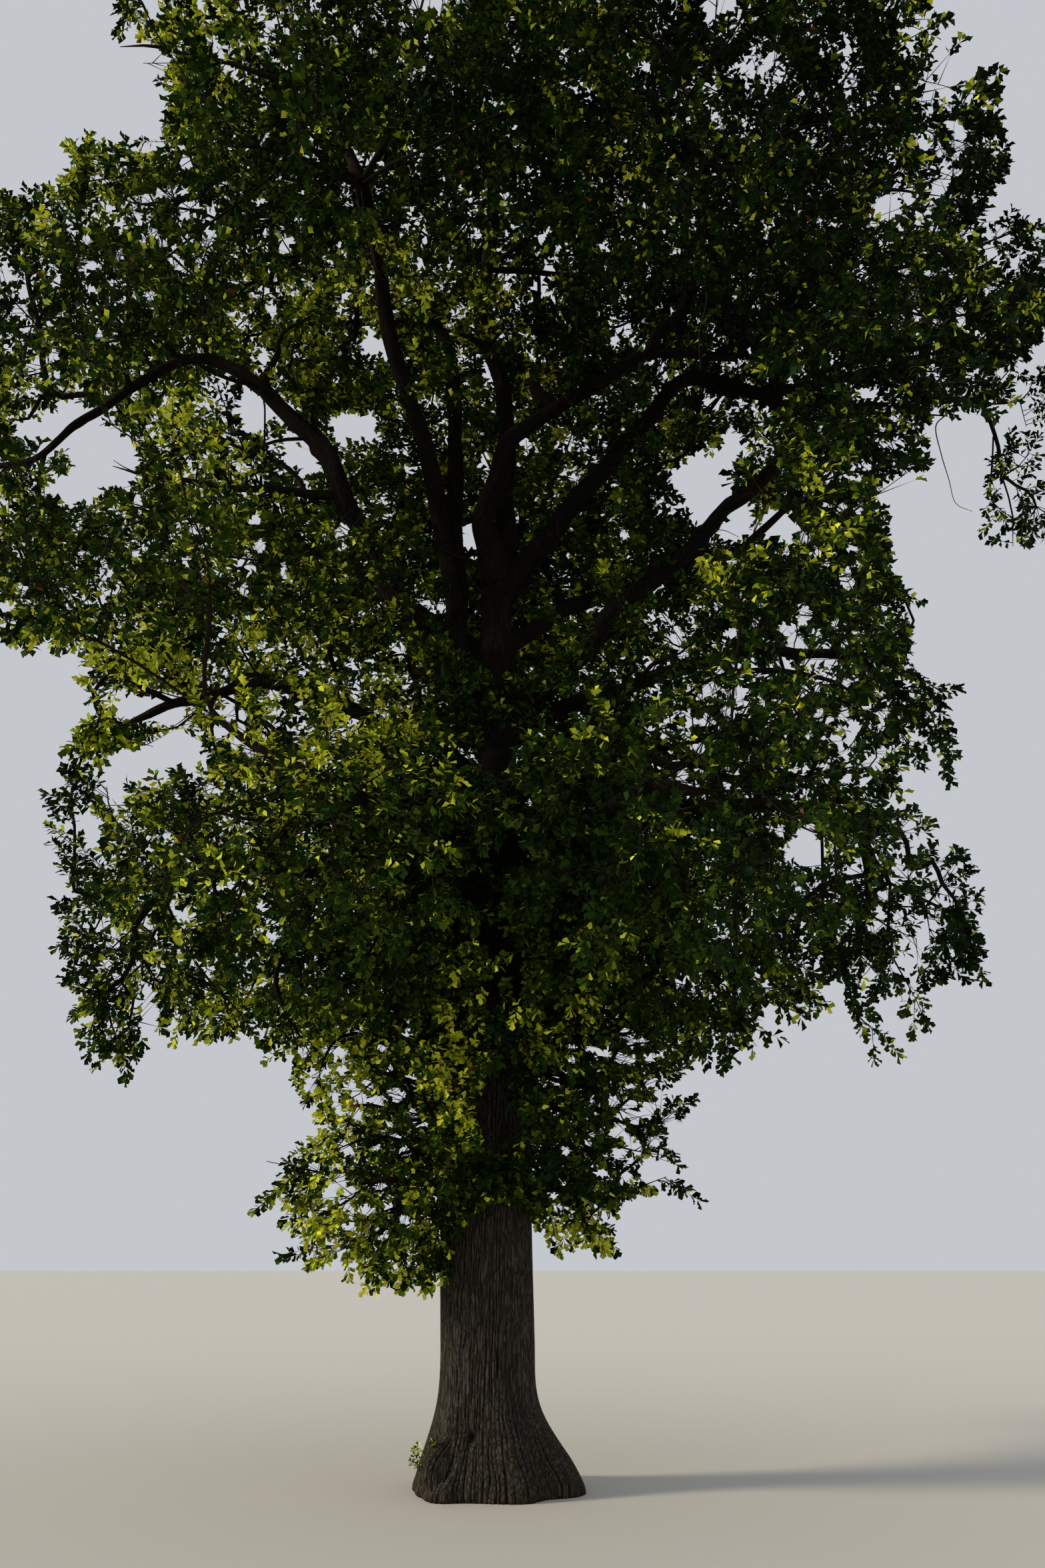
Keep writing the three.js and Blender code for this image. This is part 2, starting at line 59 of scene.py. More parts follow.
# =======================================================================================================
# numbers shared with the CAD model
# =======================================================================================================
FORK_HEIGHT = 9.6
BREAST_RADIUS = 0.44
TRUNK_TOP_RADIUS = 0.175
ROOT_LOBES = [(-12, 0.38, 30), (186, 0.09, 26), (238, 0.20, 24), (292, 0.22, 24), (62, 0.30, 28), (128, 0.24, 26)]
LIMB_KEYS = ("foot", "bearing", "rise", "reach", "toward", "top", "arrive", "thick", "thin", "mass")
LIMBS = {
    "bough_right_great": (7.55, 348, 38, 3.50, 356, 10.9, 40, 0.125, 0.080, "mid_right_upper"),
    "bough_right_level": (7.25, 352, 30, 4.10, 354, 8.2, -10, 0.100, 0.055, "mid_right"),
    "bough_right_low": (5.60, 358, 30, 3.90, 357, 6.10, -38, 0.105, 0.055, "skirt_right"),
    "bough_left_mid": (6.70, 178, 42, 4.00, 177, 7.8, -24, 0.110, 0.050, "mid_left_small"),
    "bough_left_low": (5.45, 184, 26, 3.30, 184, 5.5, -22, 0.120, 0.060, "skirt_left"),
    "bough_front_left_low": (5.00, 236, 30, 3.50, 247, 5.6, -10, 0.105, 0.055, "skirt_front_left"),
    "bough_front_right_low": (5.20, 306, 30, 3.60, 297, 5.6, -12, 0.105, 0.055, "skirt_front_right"),
    "bough_back_left_low": (4.80, 128, 32, 3.40, 131, 5.9, 0, 0.110, 0.060, "skirt_back_left"),
    "bough_back_right_low": (5.10, 50, 32, 3.60, 48, 5.9, 0, 0.110, 0.060, "skirt_back_right"),
    "bough_back_left_mid": (6.60, 122, 30, 4.40, 128, 8.6, 12, 0.120, 0.065, "mid_back_left"),
    "bough_back_right_mid": (6.90, 48, 30, 4.50, 52, 8.5, 12, 0.120, 0.065, "mid_back_right"),
    "bough_back_left_high": (8.30, 136, 42, 5.00, 138, 12.2, 30, 0.115, 0.070, "high_back_left"),
    "bough_back_right_high": (8.50, 40, 42, 5.00, 42, 12.0, 30, 0.115, 0.070, "high_back_right"),
    "bough_back_high": (9.00, 92, 46, 5.00, 91, 12.5, 34, 0.110, 0.065, "high_back"),
}
# limbs with crooks: foot, the points that each passes through, thick, thin, mass
CROOKED = {
    "leader_top": (9.30, [(0.12, 0.22, 10.19), (0.11, 0.28, 12.04), (0.01, 0.28, 12.73), (-0.2, 0.22, 13.28), (-0.1, 0.15, 14.57), (-0.07, 0.13, 16.13)], 0.140, 0.070, "top_crown"),
    "leader_left": (7.20, [(-0.25, 0.12, 7.83), (-0.39, 0.16, 8.69), (-0.45, 0.2, 9.53), (-0.48, 0.3, 11.2), (-0.56, 0.4, 12.45), (-0.96, 0.45, 13.94), (-2.1, 0.4, 15.25)], 0.140, 0.075, "top_left"),
    "leader_right": (9.20, [(0.45, 0.12, 9.74), (0.92, 0.2, 10.52), (1.44, 0.28, 11.25), (1.98, 0.34, 12.04), (2.53, 0.38, 12.69), (3.54, 0.45, 12.55)], 0.150, 0.085, "high_right_inner"),
    "leader_centre": (9.40, [(-0.08, -0.1, 9.99), (-0.07, -0.15, 10.28), (0.1, -0.22, 10.73), (0.19, -0.3, 11.14), (0.49, -0.4, 11.38), (0.89, -0.5, 11.58), (1.39, -0.62, 11.8), (1.9, -0.7, 12.08), (3.03, -0.2, 12.5)], 0.160, 0.055, "high_right_inner"),
    "bough_left_great": (7.20, [(-0.53, 0.02, 8.1), (-0.99, -0.12, 8.87), (-1.39, -0.26, 9.59), (-1.72, -0.38, 10.2), (-2.01, -0.46, 10.9), (-2.42, -0.5, 11.38), (-2.83, -0.52, 11.76)], 0.165, 0.095, None),
    "bough_left_outer": (("bough_left_great", 1), [(-3.3, -0.52, 12.13), (-3.75, -0.5, 12.23), (-4.41, -0.45, 11.83), (-5.02, -0.4, 11.37), (-5.52, -0.3, 10.91), (-6.19, -0.1, 10.88)], 0.090, 0.034, "mid_left_outer"),
    "bough_front_left_high": (("leader_left", 0.34), [(-0.59, 0.1, 10.07), (-0.7, 0, 10.57), (-0.83, -0.2, 11.14), (-1.01, -0.4, 11.61), (-1.19, -0.6, 12.13), (-1.3, -0.85, 12.62), (-1.38, -1.4, 12.91), (-1.41, -2.7, 12.69)], 0.125, 0.080, "high_front_left"),
    "bough_front_right_high": (("leader_centre", 0.889), [(1.99, -0.85, 12.32), (2.21, -1, 12.46), (2.28, -1.2, 12.55), (2.36, -1.5, 12.66), (2.3, -2.9, 12.8)], 0.078, 0.060, "high_front_right"),
}
LIMBS = {**{n: dict(zip(("foot", "via", "thick", "thin", "mass"), row)) for n, row in CROOKED.items()},
         **{n: dict(zip(LIMB_KEYS, row)) for n, row in LIMBS.items()}}


def smooth(a, b, x):
    t = np.clip((np.asarray(x, float) - a) / (b - a), 0, 1)
    return t * t * (3 - 2 * t)


def heading(bearing, rise):
    b, r = math.radians(bearing), math.radians(rise)
    return np.array([math.cos(b) * math.cos(r), math.sin(b) * math.cos(r), math.sin(r)])


def at(out, bearing, height):
    b = math.radians(bearing)
    return np.array([out * math.cos(b), out * math.sin(b), height])


def trunk_axis(z):
    z = np.asarray(z, float)
    return np.stack([0.055 * smooth(2.2, 5.5, z) - 0.015 * smooth(7.0, 9.0, z), 0.10 * smooth(3.0, 9.0, z), z], -1)


def trunk_radius(z):
    bole = BREAST_RADIUS - 0.02 * smooth(2.4, 3.6, z) - 0.215 * smooth(3.6, 7.3, z)
    return bole - (BREAST_RADIUS - 0.235 - TRUNK_TOP_RADIUS) * smooth(7.4, FORK_HEIGHT, z)


def turned(a, b):
    return np.arctan2(np.sin(a - b), np.cos(a - b))


def flare_at(angle, z):
    fade = (1 - smooth(0, 1.15, z)) ** 2.1
    out = 0.10 * fade
    for bearing, reach, width in ROOT_LOBES:
        out = out + reach * fade * np.exp(-((turned(angle, math.radians(bearing)) / math.radians(width)) ** 2))
    return out


def limb_curve(name, t):
    d = LIMBS[name]
    if isinstance(d["foot"], tuple):
        start = limb_curve(d["foot"][0], np.array([d["foot"][1]]))[0]
    else:
        start = trunk_axis(d["foot"])
    if "via" in d:                     # Catmull-Rom through the points, each stretch with the same share of t
        p = np.vstack([start, d["via"]])
        p = np.vstack([2 * p[0] - p[1], p, 2 * p[-1] - p[-2]])
        u = np.clip(np.asarray(t, float), 0, 1) * (len(p) - 3)
        i = np.minimum(u.astype(int), len(p) - 4)
        u = (u - i)[:, None]
        a, b, c, e = p[i], p[i + 1], p[i + 2], p[i + 3]
        return 0.5 * (2 * b + (c - a) * u + (2 * a - 5 * b + 4 * c - e) * u ** 2 + (3 * b - a - 3 * c + e) * u ** 3)
    end = at(d["reach"], d["toward"], d["top"])
    pull = np.linalg.norm(end - start) * 0.38
    a, b = start + heading(d["bearing"], d["rise"]) * pull, end - heading(d["toward"], d["arrive"]) * pull
    t = np.asarray(t, float)[:, None]
    return start * (1 - t) ** 3 + a * 3 * t * (1 - t) ** 2 + b * 3 * t * t * (1 - t) + end * t ** 3


# =======================================================================================================
# camera, and the places that the photograph shows open
# =======================================================================================================
EYE = np.array([0.34, -12.5, 1.85])
TILT = math.radians(21.65)
FOCAL = 1829.0            # pixels of the 1568 x 2352 frame
cam_data = bpy.data.cameras.new("camera")
cam_data.sensor_fit = "AUTO"
cam_data.sensor_width = 36.0
cam_data.lens = 36.0 * FOCAL / 2352
cam_data.clip_end = 3000
camera = bpy.data.objects.new("camera", cam_data)
camera.location = EYE
camera.rotation_euler = (math.pi / 2 + TILT, 0, 0)
bpy.context.scene.collection.objects.link(camera)
bpy.context.scene.camera = camera

ahead = np.array([0, math.cos(TILT), math.sin(TILT)])
above = np.array([0, -math.sin(TILT), math.cos(TILT)])


def on_frame(p):
    """Pixel coordinates of world points in the 1568 x 2352 frame, and their distance ahead."""
    d = np.asarray(p, float) - EYE
    z = d @ ahead
    return 784 + FOCAL * d[..., 0] / z, 1176 - FOCAL * (d @ above) / z, z


# open places in or beside the crown: middle and half sizes of an ellipse in the frame
OPEN = [
    (383, 624, 26, 18), (531, 638, 36, 19), (558, 518, 19, 14), (465, 688, 16, 22), (705, 805, 9, 26),
    (1060, 735, 32, 50), (1018, 718, 13, 18), (1097, 672, 16, 22), (1106, 769, 18, 20), (1170, 786, 30, 24), (1070, 606, 12, 11),
    (985, 1757, 28, 20), (224, 1522, 12, 44), (1152, 1526, 12, 20), (1251, 1487, 20, 16), (1332, 311, 22, 18), (1424, 104, 22, 20),
    (110, 640, 44, 30), (165, 690, 42, 40), (110, 735, 40, 18),
    (92, 1046, 26, 24), (188, 1142, 28, 20), (262, 1128, 36, 24), (252, 1062, 26, 20), (208, 1062, 24, 22), (44, 1056, 78, 76),
    (1209, 1276, 26, 24),
    (650, -4, 22, 20), (1074, 10, 22, 16), (972, 104, 9, 10),
    (1450, 660, 58, 34), (1436, 745, 40, 92), (1400, 850, 60, 40), (1500, 900, 90, 70), (1400, 960, 34, 60),
    (60, 20, 112, 62), (60, 150, 110, 62), (190, 160, 60, 34), (140, 90, 36, 22), (28, 240, 78, 36), (208, 92, 40, 34), (1358, 780, 26, 74), (1064, 1764, 34, 26),
    (1512, 36, 62, 66), (1552, 272, 42, 50), (1440, 192, 9, 9), (1504, 1080, 62, 90),
    (1520, 1230, 60, 90), (1540, 1370, 64, 150), (22, 1400, 58, 250), (72, 1585, 46, 80), (1102, 797, 20, 14), (1545, 170, 40, 60), (330, 1735, 90, 60), (408, 1668, 42, 62),
    (988, 1842, 64, 50), (1090, 1710, 80, 44), (1180, 1640, 60, 40), (590, 2000, 130, 60), (480, 1962, 60, 50), (872, 1962, 92, 76), (948, 1842, 26, 44),
]
# where small gaps break the leaves: middle and half sizes in the frame, and the share that is open
LACE = [
    (1150, 1070, 180, 190, 0.055), (1410, 200, 60, 80, 0.10), (1370, 1330, 110, 130, 0.040), (300, 350, 190, 160, 0.018),
    (330, 740, 170, 150, 0.010), (1250, 850, 90, 120, 0.030), (470, 1640, 110, 70, 0.040),
    (1420, 380, 90, 140, 0.030), (90, 480, 100, 110, 0.020), (330, 1130, 90, 80, 0.060), (930, 1650, 110, 120, 0.080), (560, 1720, 100, 150, 0.045),
]
dice = np.random.default_rng(5)
PORES = []
for cu, cv, ru, rv, share in LACE:
    for _ in range(int(share * math.pi * ru * rv / 70)):
        a, q = dice.uniform(0, 2 * math.pi), math.sqrt(dice.uniform(0, 1))
        PORES.append((cu + ru * q * math.cos(a), cv + rv * q * math.sin(a), dice.uniform(6.5, 12.5), dice.uniform(6.5, 12.5)))
# dark bark that the sprays in front leave open
BARE = [(752, 1975, 78, 172), (700, 2060, 60, 130), (741, 1672, 22, 62), (766, 1275, 18, 22), (712, 1330, 18, 22), (733, 1402, 18, 18), (774, 1460, 9, 46)]


def on_pixel(u, v, y):
    """The world point at depth y that a pixel of the frame shows."""
    ray = ahead + np.array([1.0, 0, 0]) * (u - 784) / FOCAL - above * (v - 1176) / FOCAL
    return EYE + ray * (y - EYE[1]) / ray[1]


def in_open(p, grow=0.0, pores=False):
    u, v, _ = on_frame(p)
    inside = np.zeros(len(u), bool)
    for cu, cv, ru, rv in OPEN + PORES if pores else OPEN:
        inside |= ((u - cu) / (ru + grow)) ** 2 + ((v - cv) / (rv + grow)) ** 2 < 1
    front = p[:, 1] < 0.1
    for cu, cv, ru, rv in BARE:
        inside |= front & (((u - cu) / (ru + grow)) ** 2 + ((v - cv) / (rv + grow)) ** 2 < 1)
    return inside


# =======================================================================================================
# small tools
# =======================================================================================================
def unit(v):
    return v / np.maximum(np.linalg.norm(v, axis=-1, keepdims=True), 1e-9)


def new_mesh(name, verts, faces, slots=None, values=None, flat=False):
    """A mesh object from arrays: faces all of one size, a material slot per face, a value per vertex."""
    verts, faces = np.ascontiguousarray(verts, np.float32), np.ascontiguousarray(faces, np.int32)
    mesh = bpy.data.meshes.new(name)
    mesh.vertices.add(len(verts))
    mesh.vertices.foreach_set("co", verts.ravel())
    mesh.loops.add(faces.size)
    mesh.loops.foreach_set("vertex_index", faces.ravel())
    mesh.polygons.add(len(faces))
    mesh.polygons.foreach_set("loop_start", np.arange(len(faces), dtype=np.int32) * faces.shape[1])
    if slots is not None:
        mesh.polygons.foreach_set("material_index", np.ascontiguousarray(slots, np.int32))
    mesh.update(calc_edges=True)
    mesh.polygons.foreach_set("use_smooth", np.full(len(faces), not flat))
    for label, value in (values or {}).items():
        mesh.attributes.new(label, "FLOAT", "POINT").data.foreach_set("value", np.ascontiguousarray(value, np.float32))
    ob = bpy.data.objects.new(name, mesh)
    bpy.context.scene.collection.objects.link(ob)
    return ob


def frames_along(points):
    """Tangent and two side vectors at each point of a polyline, turned as little as possible."""
    tangent = np.gradient(points, axis=0)
    tangent = unit(tangent)
    side = np.empty_like(points)
    start = np.array([0.31, 0.27, 1.0]) if abs(tangent[0][2]) < 0.9 else np.array([1.0, 0.27, 0.0])
    side[0] = unit(np.cross(tangent[0], start))
    for i in range(1, len(points)):
        s = side[i - 1] - tangent[i] * (side[i - 1] @ tangent[i])
        side[i] = s / max(np.linalg.norm(s), 1e-9)
    return tangent, side, np.cross(tangent, side)


def tube(points, radii, sides, cap=True):
    """Vertices and quads of a tube."""
    tangent, side, up = frames_along(points)
    a = np.arange(sides) * 2 * math.pi / sides
    ring = np.cos(a)[None, :, None] * side[:, None, :] + np.sin(a)[None, :, None] * up[:, None, :]
    verts = (points[:, None, :] + ring * np.asarray(radii)[:, None, None]).reshape(-1, 3)
    n = len(points)
    i, j = np.meshgrid(np.arange(n - 1), np.arange(sides), indexing="ij")
    a0, a1 = i * sides + j, i * sides + (j + 1) % sides
    quads = np.stack([a0, a1, a1 + sides, a0 + sides], -1).reshape(-1, 4)
    return verts, quads


# =======================================================================================================
# materials
# =======================================================================================================
def plain(name, colour, roughness=0.6, specular=0.15):
    m = bpy.data.materials.new(name)
    m.use_nodes = True
    p = m.node_tree.nodes["Principled BSDF"]
    p.inputs["Base Color"].default_value = (*colour, 1)
    p.inputs["Roughness"].default_value = roughness
    p.inputs["Specular IOR Level"].default_value = specular
    return m


# painted light and shade in the leaves' base colours: the darkest tones are painted shade, the middle ones lighter
# steps of it, sunlit, glow and blaze painted sunlight through the leaves, cool a painted blue cast of sky light; rust
# is the leaves' own colour
LEAF_TONES = [  # from the crown's dark inside to leaves that the sun comes through, then the odd ones
    ("leaf_deep", (0.0036, 0.0102, 0.0009)),
    ("leaf_shade", (0.0098, 0.0258, 0.0020)),
    ("leaf_green", (0.0275, 0.0550, 0.0055)),
    ("leaf_skylit", (0.0620, 0.1060, 0.0080)),
    ("leaf_sunlit", (0.1500, 0.2150, 0.0075)),
    ("leaf_glow", (0.3350, 0.3950, 0.0150)),
    ("leaf_blaze", (0.6700, 0.7000, 0.0560)),
    ("leaf_cool", (0.0120, 0.0330, 0.0110)),
    ("leaf_rust", (0.1300, 0.0520, 0.0140)),
]
leaf_materials = [plain(n, c, 0.60, 0.04) for n, c in LEAF_TONES]
DEEP, SHADE, GREEN, SKYLIT, SUNLIT, GLOW, BLAZE, COOL, RUST = range(9)


def bark_material(name, ridge, fissure, algae, scale=1.0):
    m = bpy.data.materials.new(name)
    m.use_nodes = True
    t = m.node_tree
    p = t.nodes["Principled BSDF"]
    p.inputs["Roughness"].default_value = 0.92
    p.inputs["Specular IOR Level"].default_value = 0.12
    where = t.nodes.new("ShaderNodeTexCoord")
    stretch = t.nodes.new("ShaderNodeMapping")
    stretch.inputs["Scale"].default_value = (1.0, 1.0, 0.28)
    t.links.new(where.outputs["Object"], stretch.inputs["Vector"])

    def noise(scale_, detail, source, rough=0.6):
        n = t.nodes.new("ShaderNodeTexNoise")
        n.inputs["Scale"].default_value = scale_
        n.inputs["Detail"].default_value = detail
        n.inputs["Roughness"].default_value = rough
        t.links.new(source, n.inputs["Vector"])
        return n.outputs["Fac"]

    def mix(factor, a, b, blend="MIX"):
        n = t.nodes.new("ShaderNodeMix")
        n.data_type = "RGBA"
        n.blend_type = blend
        for socket, value in ((n.inputs[0], factor), (n.inputs[6], a), (n.inputs[7], b)):
            if hasattr(value, "node"):
                t.links.new(value, socket)
            elif isinstance(value, tuple):
                socket.default_value = (*value, 1)
            else:
                socket.default_value = value
        return n.outputs[2]

    def ramp(source, low, high):
        n = t.nodes.new("ShaderNodeMapRange")
        n.inputs["From Min"].default_value = low
        n.inputs["From Max"].default_value = high
        n.interpolation_type = "SMOOTHSTEP"
        t.links.new(source, n.inputs["Value"])
        return n.outputs[0]

    relief = t.nodes.new("ShaderNodeAttribute")
    relief.attribute_name = "relief"
    fine = noise(46 * scale, 5, stretch.outputs[0], 0.7)
    coarse = noise(3.2, 3, where.outputs["Object"])
    plates = mix(ramp(fine, 0.34, 0.70), tuple(0.62 * c for c in ridge), tuple(1.32 * c for c in ridge))
    plates = mix(ramp(coarse, 0.42, 0.66), plates, mix(1.0, plates, (0.80, 0.74, 0.66), "MULTIPLY"))
    green = t.nodes.new("ShaderNodeAttribute")
    green.attribute_name = "algae"
    dusted = t.nodes.new("ShaderNodeMath")
    dusted.operation = "MULTIPLY"
    t.links.new(green.outputs["Fac"], dusted.inputs[0])
    t.links.new(ramp(noise(9.0, 3, where.outputs["Object"]), 0.38, 0.62), dusted.inputs[1])
    plates = mix(dusted.outputs[0], plates, algae)
    # painted shade: the bark darkens up the bole, where the crown above would shade it
    crown_shade_painted = t.nodes.new("ShaderNodeAttribute")
    crown_shade_painted.attribute_name = "crown_shade_painted"
    plates = mix(crown_shade_painted.outputs["Fac"], plates, mix(1.0, plates, (0.30, 0.27, 0.22), "MULTIPLY"))
    # narrow ridges, finer than the mesh: long cells with dark seams, partly the bark's own dark furrows and partly
    # painted shade in them
    long = t.nodes.new("ShaderNodeMapping")
    long.inputs["Scale"].default_value = (1.0, 1.0, 0.13)
    t.links.new(where.outputs["Object"], long.inputs["Vector"])
    wander = t.nodes.new("ShaderNodeTexNoise")
    wander.inputs["Scale"].default_value = 7.0
    wander.inputs["Detail"].default_value = 2.0
    t.links.new(where.outputs["Object"], wander.inputs["Vector"])
    shift = t.nodes.new("ShaderNodeVectorMath")
    shift.operation = "MULTIPLY_ADD"
    shift.inputs[1].default_value = (0.05, 0.05, 0.05)
    t.links.new(wander.outputs["Color"], shift.inputs[0])
    t.links.new(long.outputs[0], shift.inputs[2])
    seam = t.nodes.new("ShaderNodeTexVoronoi")
    seam.feature = "DISTANCE_TO_EDGE"
    seam.inputs["Scale"].default_value = 34 * scale
    t.links.new(shift.outputs[0], seam.inputs["Vector"])
    narrow = ramp(seam.outputs["Distance"], 0.02, 0.20)
    plates = mix(narrow, mix(0.30, fissure, plates), plates)
    # where relief falls to 0 the bark takes the fissure colour: partly the bark's own dark furrows, partly painted
    # shade in the recess
    t.links.new(mix(ramp(relief.outputs["Fac"], 0.05, 0.75), fissure, plates), p.inputs["Base Color"])
    height = t.nodes.new("ShaderNodeMath")
    height.operation = "MULTIPLY_ADD"
    t.links.new(noise(85 * scale, 4, stretch.outputs[0], 0.75), height.inputs[0])
    height.inputs[1].default_value = 0.5
    t.links.new(narrow, height.inputs[2])
    bump = t.nodes.new("ShaderNodeBump")
    bump.inputs["Strength"].default_value = 0.7
    bump.inputs["Distance"].default_value = 0.008
    t.links.new(height.outputs[0], bump.inputs["Height"])
    t.links.new(bump.outputs["Normal"], p.inputs["Normal"])
    return m


bark_trunk = bark_material("bark_old", (0.068, 0.057, 0.046), (0.0050, 0.0041, 0.0032), (0.034, 0.038, 0.017))
# painted shade: the bark of the limbs and branches is far darker than the trunk's, for the crown's shade on them
bark_limb = bark_material("bark_limb", (0.0125, 0.0095, 0.0058), (0.0030, 0.0023, 0.0014), (0.0090, 0.0100, 0.0045))
bark_branch = plain("bark_branch", (0.0120, 0.0095, 0.0060), 0.9, 0.05)
bark_twig = plain("bark_twig", (0.026, 0.022, 0.012), 0.85, 0.05)
bark_limb_plain = plain("bark_dead", (0.060, 0.052, 0.043), 0.9, 0.1)

# =======================================================================================================
# bark relief
# =======================================================================================================
def waves(u, v, around, seed):
    """Smooth values in -1..1 on a grid that closes round the wood: u counts its cells round, v along."""
    table = np.random.default_rng(seed).uniform(-1, 1, (around, 97))
    iu, iv = np.floor(u).astype(int), np.floor(v).astype(int)
    fu, fv = u - iu, v - iv
    fu, fv = fu * fu * (3 - 2 * fu), fv * fv * (3 - 2 * fv)

    def pick(a, b):
        return table[a % around, b % 97]

    near, far = pick(iu, iv) * (1 - fu) + pick(iu + 1, iv) * fu, pick(iu, iv + 1) * (1 - fu) + pick(iu + 1, iv + 1) * fu
    return near * (1 - fv) + far * fv


def ridges(turn, height, around, seed, long=1.0):
    """Bark of an old oak: 1 on a ridge, 0 in a fissure. turn is 0..1 round the wood, height in metres."""
    u = turn * around + 0.55 * waves(turn * 12, height / 0.42, 12, seed) + 0.35 * waves(turn * 30, height / 0.16, 30, seed + 1)
    # ridges run on side by side, and fissures leave, meet and end between them
    shift = 0.5 * waves(u, height / (0.50 * long) + 9, around, seed + 2)
    saw = np.abs(((u + shift) % 1.0) - 0.5) * 2                       # 0 in the middle of a ridge, 1 in a fissure
    depth = 0.5 + 0.5 * waves(np.floor(u + shift + 0.5), height / (0.30 * long) + 31, around, seed + 3)
    wide = 0.34 + 0.30 * depth
    cut = smooth(1 - wide, 1.0, saw) * (0.42 + 0.58 * smooth(0.12, 0.52, depth))
    cross = smooth(0.72, 0.95, waves(u * 1.0 + 7, height / 0.055, around, seed + 4)) * 0.45
    grain = 0.16 * waves(u * 3, height / 0.07, around * 3, seed + 5)
    return np.clip(1 - cut - cross * (1 - cut) + grain, 0, 1)


def trunk_bark():
    around = 520
    z = np.concatenate([np.arange(0, 2.9, 0.032), np.arange(2.9, 4.4, 0.06), np.arange(4.4, 9.3, 0.13),
                        [9.3, 9.38, 9.46, 9.53, 9.58, 9.60]])
    angle = np.arange(around) * 2 * math.pi / around
    a, h = np.meshgrid(angle, z)
    plate = ridges(a / (2 * math.pi), h, 98, 41)
    depth = 0.022 * (1 - 0.35 * smooth(2.6, 6.0, h))
    r = trunk_radius(h) + flare_at(a, h) + 0.012 * np.sin(3 * a + 1.9 * h) * smooth(0.4, 1.2, h)
    r = r + 0.02 * smooth(0.16, 0.0, h) + 0.010 * np.sin(5 * a + 0.8 * np.sin(1.3 * h)) * smooth(2.6, 0.6, h) + 0.014 * np.sin(11 * a + 2.1 * h) * smooth(1.0, 0.0, h)
    for bearing, height, out, wide, tall in (
        (246, 0.08, 0.050, 8, 0.09), (214, 0.07, 0.045, 8, 0.08), (262, 0.08, 0.040, 7, 0.08),
        (222, 5.45, 0.075, 17, 0.13), (206, 5.62, 0.050, 14, 0.10), (285, 2.75, 0.030, 16, 0.16),
        (300, 3.6, 0.035, 15, 0.16), (240, 3.2, 0.03, 18, 0.2), (330, 0.12, 0.05, 9, 0.10), (20, 0.12, 0.05, 10, 0.12),
        (100, 1.6, 0.04, 14, 0.16), (150, 0.12, 0.05, 9, 0.1), (60, 2.2, 0.03, 14, 0.15),
    ):
        r = r + out * np.exp(-((turned(a, math.radians(bearing)) / math.radians(wide)) ** 2) - ((h - height) / tall) ** 2)
    hollow = np.exp(-((turned(a, math.radians(258)) / math.radians(3.2)) ** 2) - ((h - 0.47) / 0.055) ** 2)
    knob = (turned(a, math.radians(226)) / math.radians(12.5)) ** 2 + ((h - 0.27) / 0.145) ** 2
    r = r + 0.105 * np.exp(-knob ** 1.6) - 0.040 * np.exp(-((np.sqrt(knob) - 1.45) / 0.22) ** 2) * smooth(0.02, 0.12, h)
    cleft = np.exp(-((turned(a, math.radians(285.5)) / math.radians(1.3)) ** 2) - ((h - 1.06) / 0.13) ** 4)
    r = r - 0.055 * hollow - 0.030 * cleft - depth * (1 - plate)
    top = smooth(9.3, 9.6, h)
    r = r * np.sqrt(np.clip(1 - top * top * 0.96, 0, 1))
    c = trunk_axis(z)[:, None, :]
    verts = np.stack([c[..., 0] + r * np.cos(a), c[..., 1] + r * np.sin(a), h], -1).reshape(-1, 3)
    n, m = len(z), around
    i, j = np.meshgrid(np.arange(n - 1), np.arange(m), indexing="ij")
    b0, b1 = i * m + j, i * m + (j + 1) % m
    quads = np.stack([b0, b1, b1 + m, b0 + m], -1).reshape(-1, 4)
    algae = smooth(1.1, 0.0, h) * 0.55 + 0.45 * smooth(0.2, 0.9, np.cos(turned(a, math.radians(150)))) * smooth(6, 1, h)
    # the hollow and the cleft take the fissure colour through relief: painted shade in the recess
    relief = plate * (1 - hollow) * (1 - 0.9 * cleft)
    # close the foot and the top, each with a fan of triangles round a middle point
    verts = np.vstack([verts, [[*trunk_axis(0.0)[:2], 0.0]], [trunk_axis(FORK_HEIGHT)]])
    foot, crown = len(verts) - 2, len(verts) - 1
    k = np.arange(m)
    k1 = (k + 1) % m
    tris = np.vstack([np.stack([k1, k, np.full(m, foot)], -1), np.stack([(n - 1) * m + k, (n - 1) * m + k1, np.full(m, crown)], -1)])
    faces = np.vstack([np.vstack([quads[:, [0, 1, 2]], quads[:, [0, 2, 3]]]), tris])
    # painted shade of the crown on the upper bole, rising from 2.9 m to 4.6 m
    crown_shade_painted = smooth(2.9, 4.6, h)
    values = {"relief": np.append(relief.ravel(), [0.3, 0.3]), "algae": np.append(algae.ravel(), [0, 0]),
              "crown_shade_painted": np.append(crown_shade_painted.ravel(), [0, 1])}
    ob = new_mesh("bark_trunk", verts, faces, values=values)
    ob.data.materials.append(bark_trunk)
    return ob


trunk = trunk_bark()
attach(trunk, "root")
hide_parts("trunk")


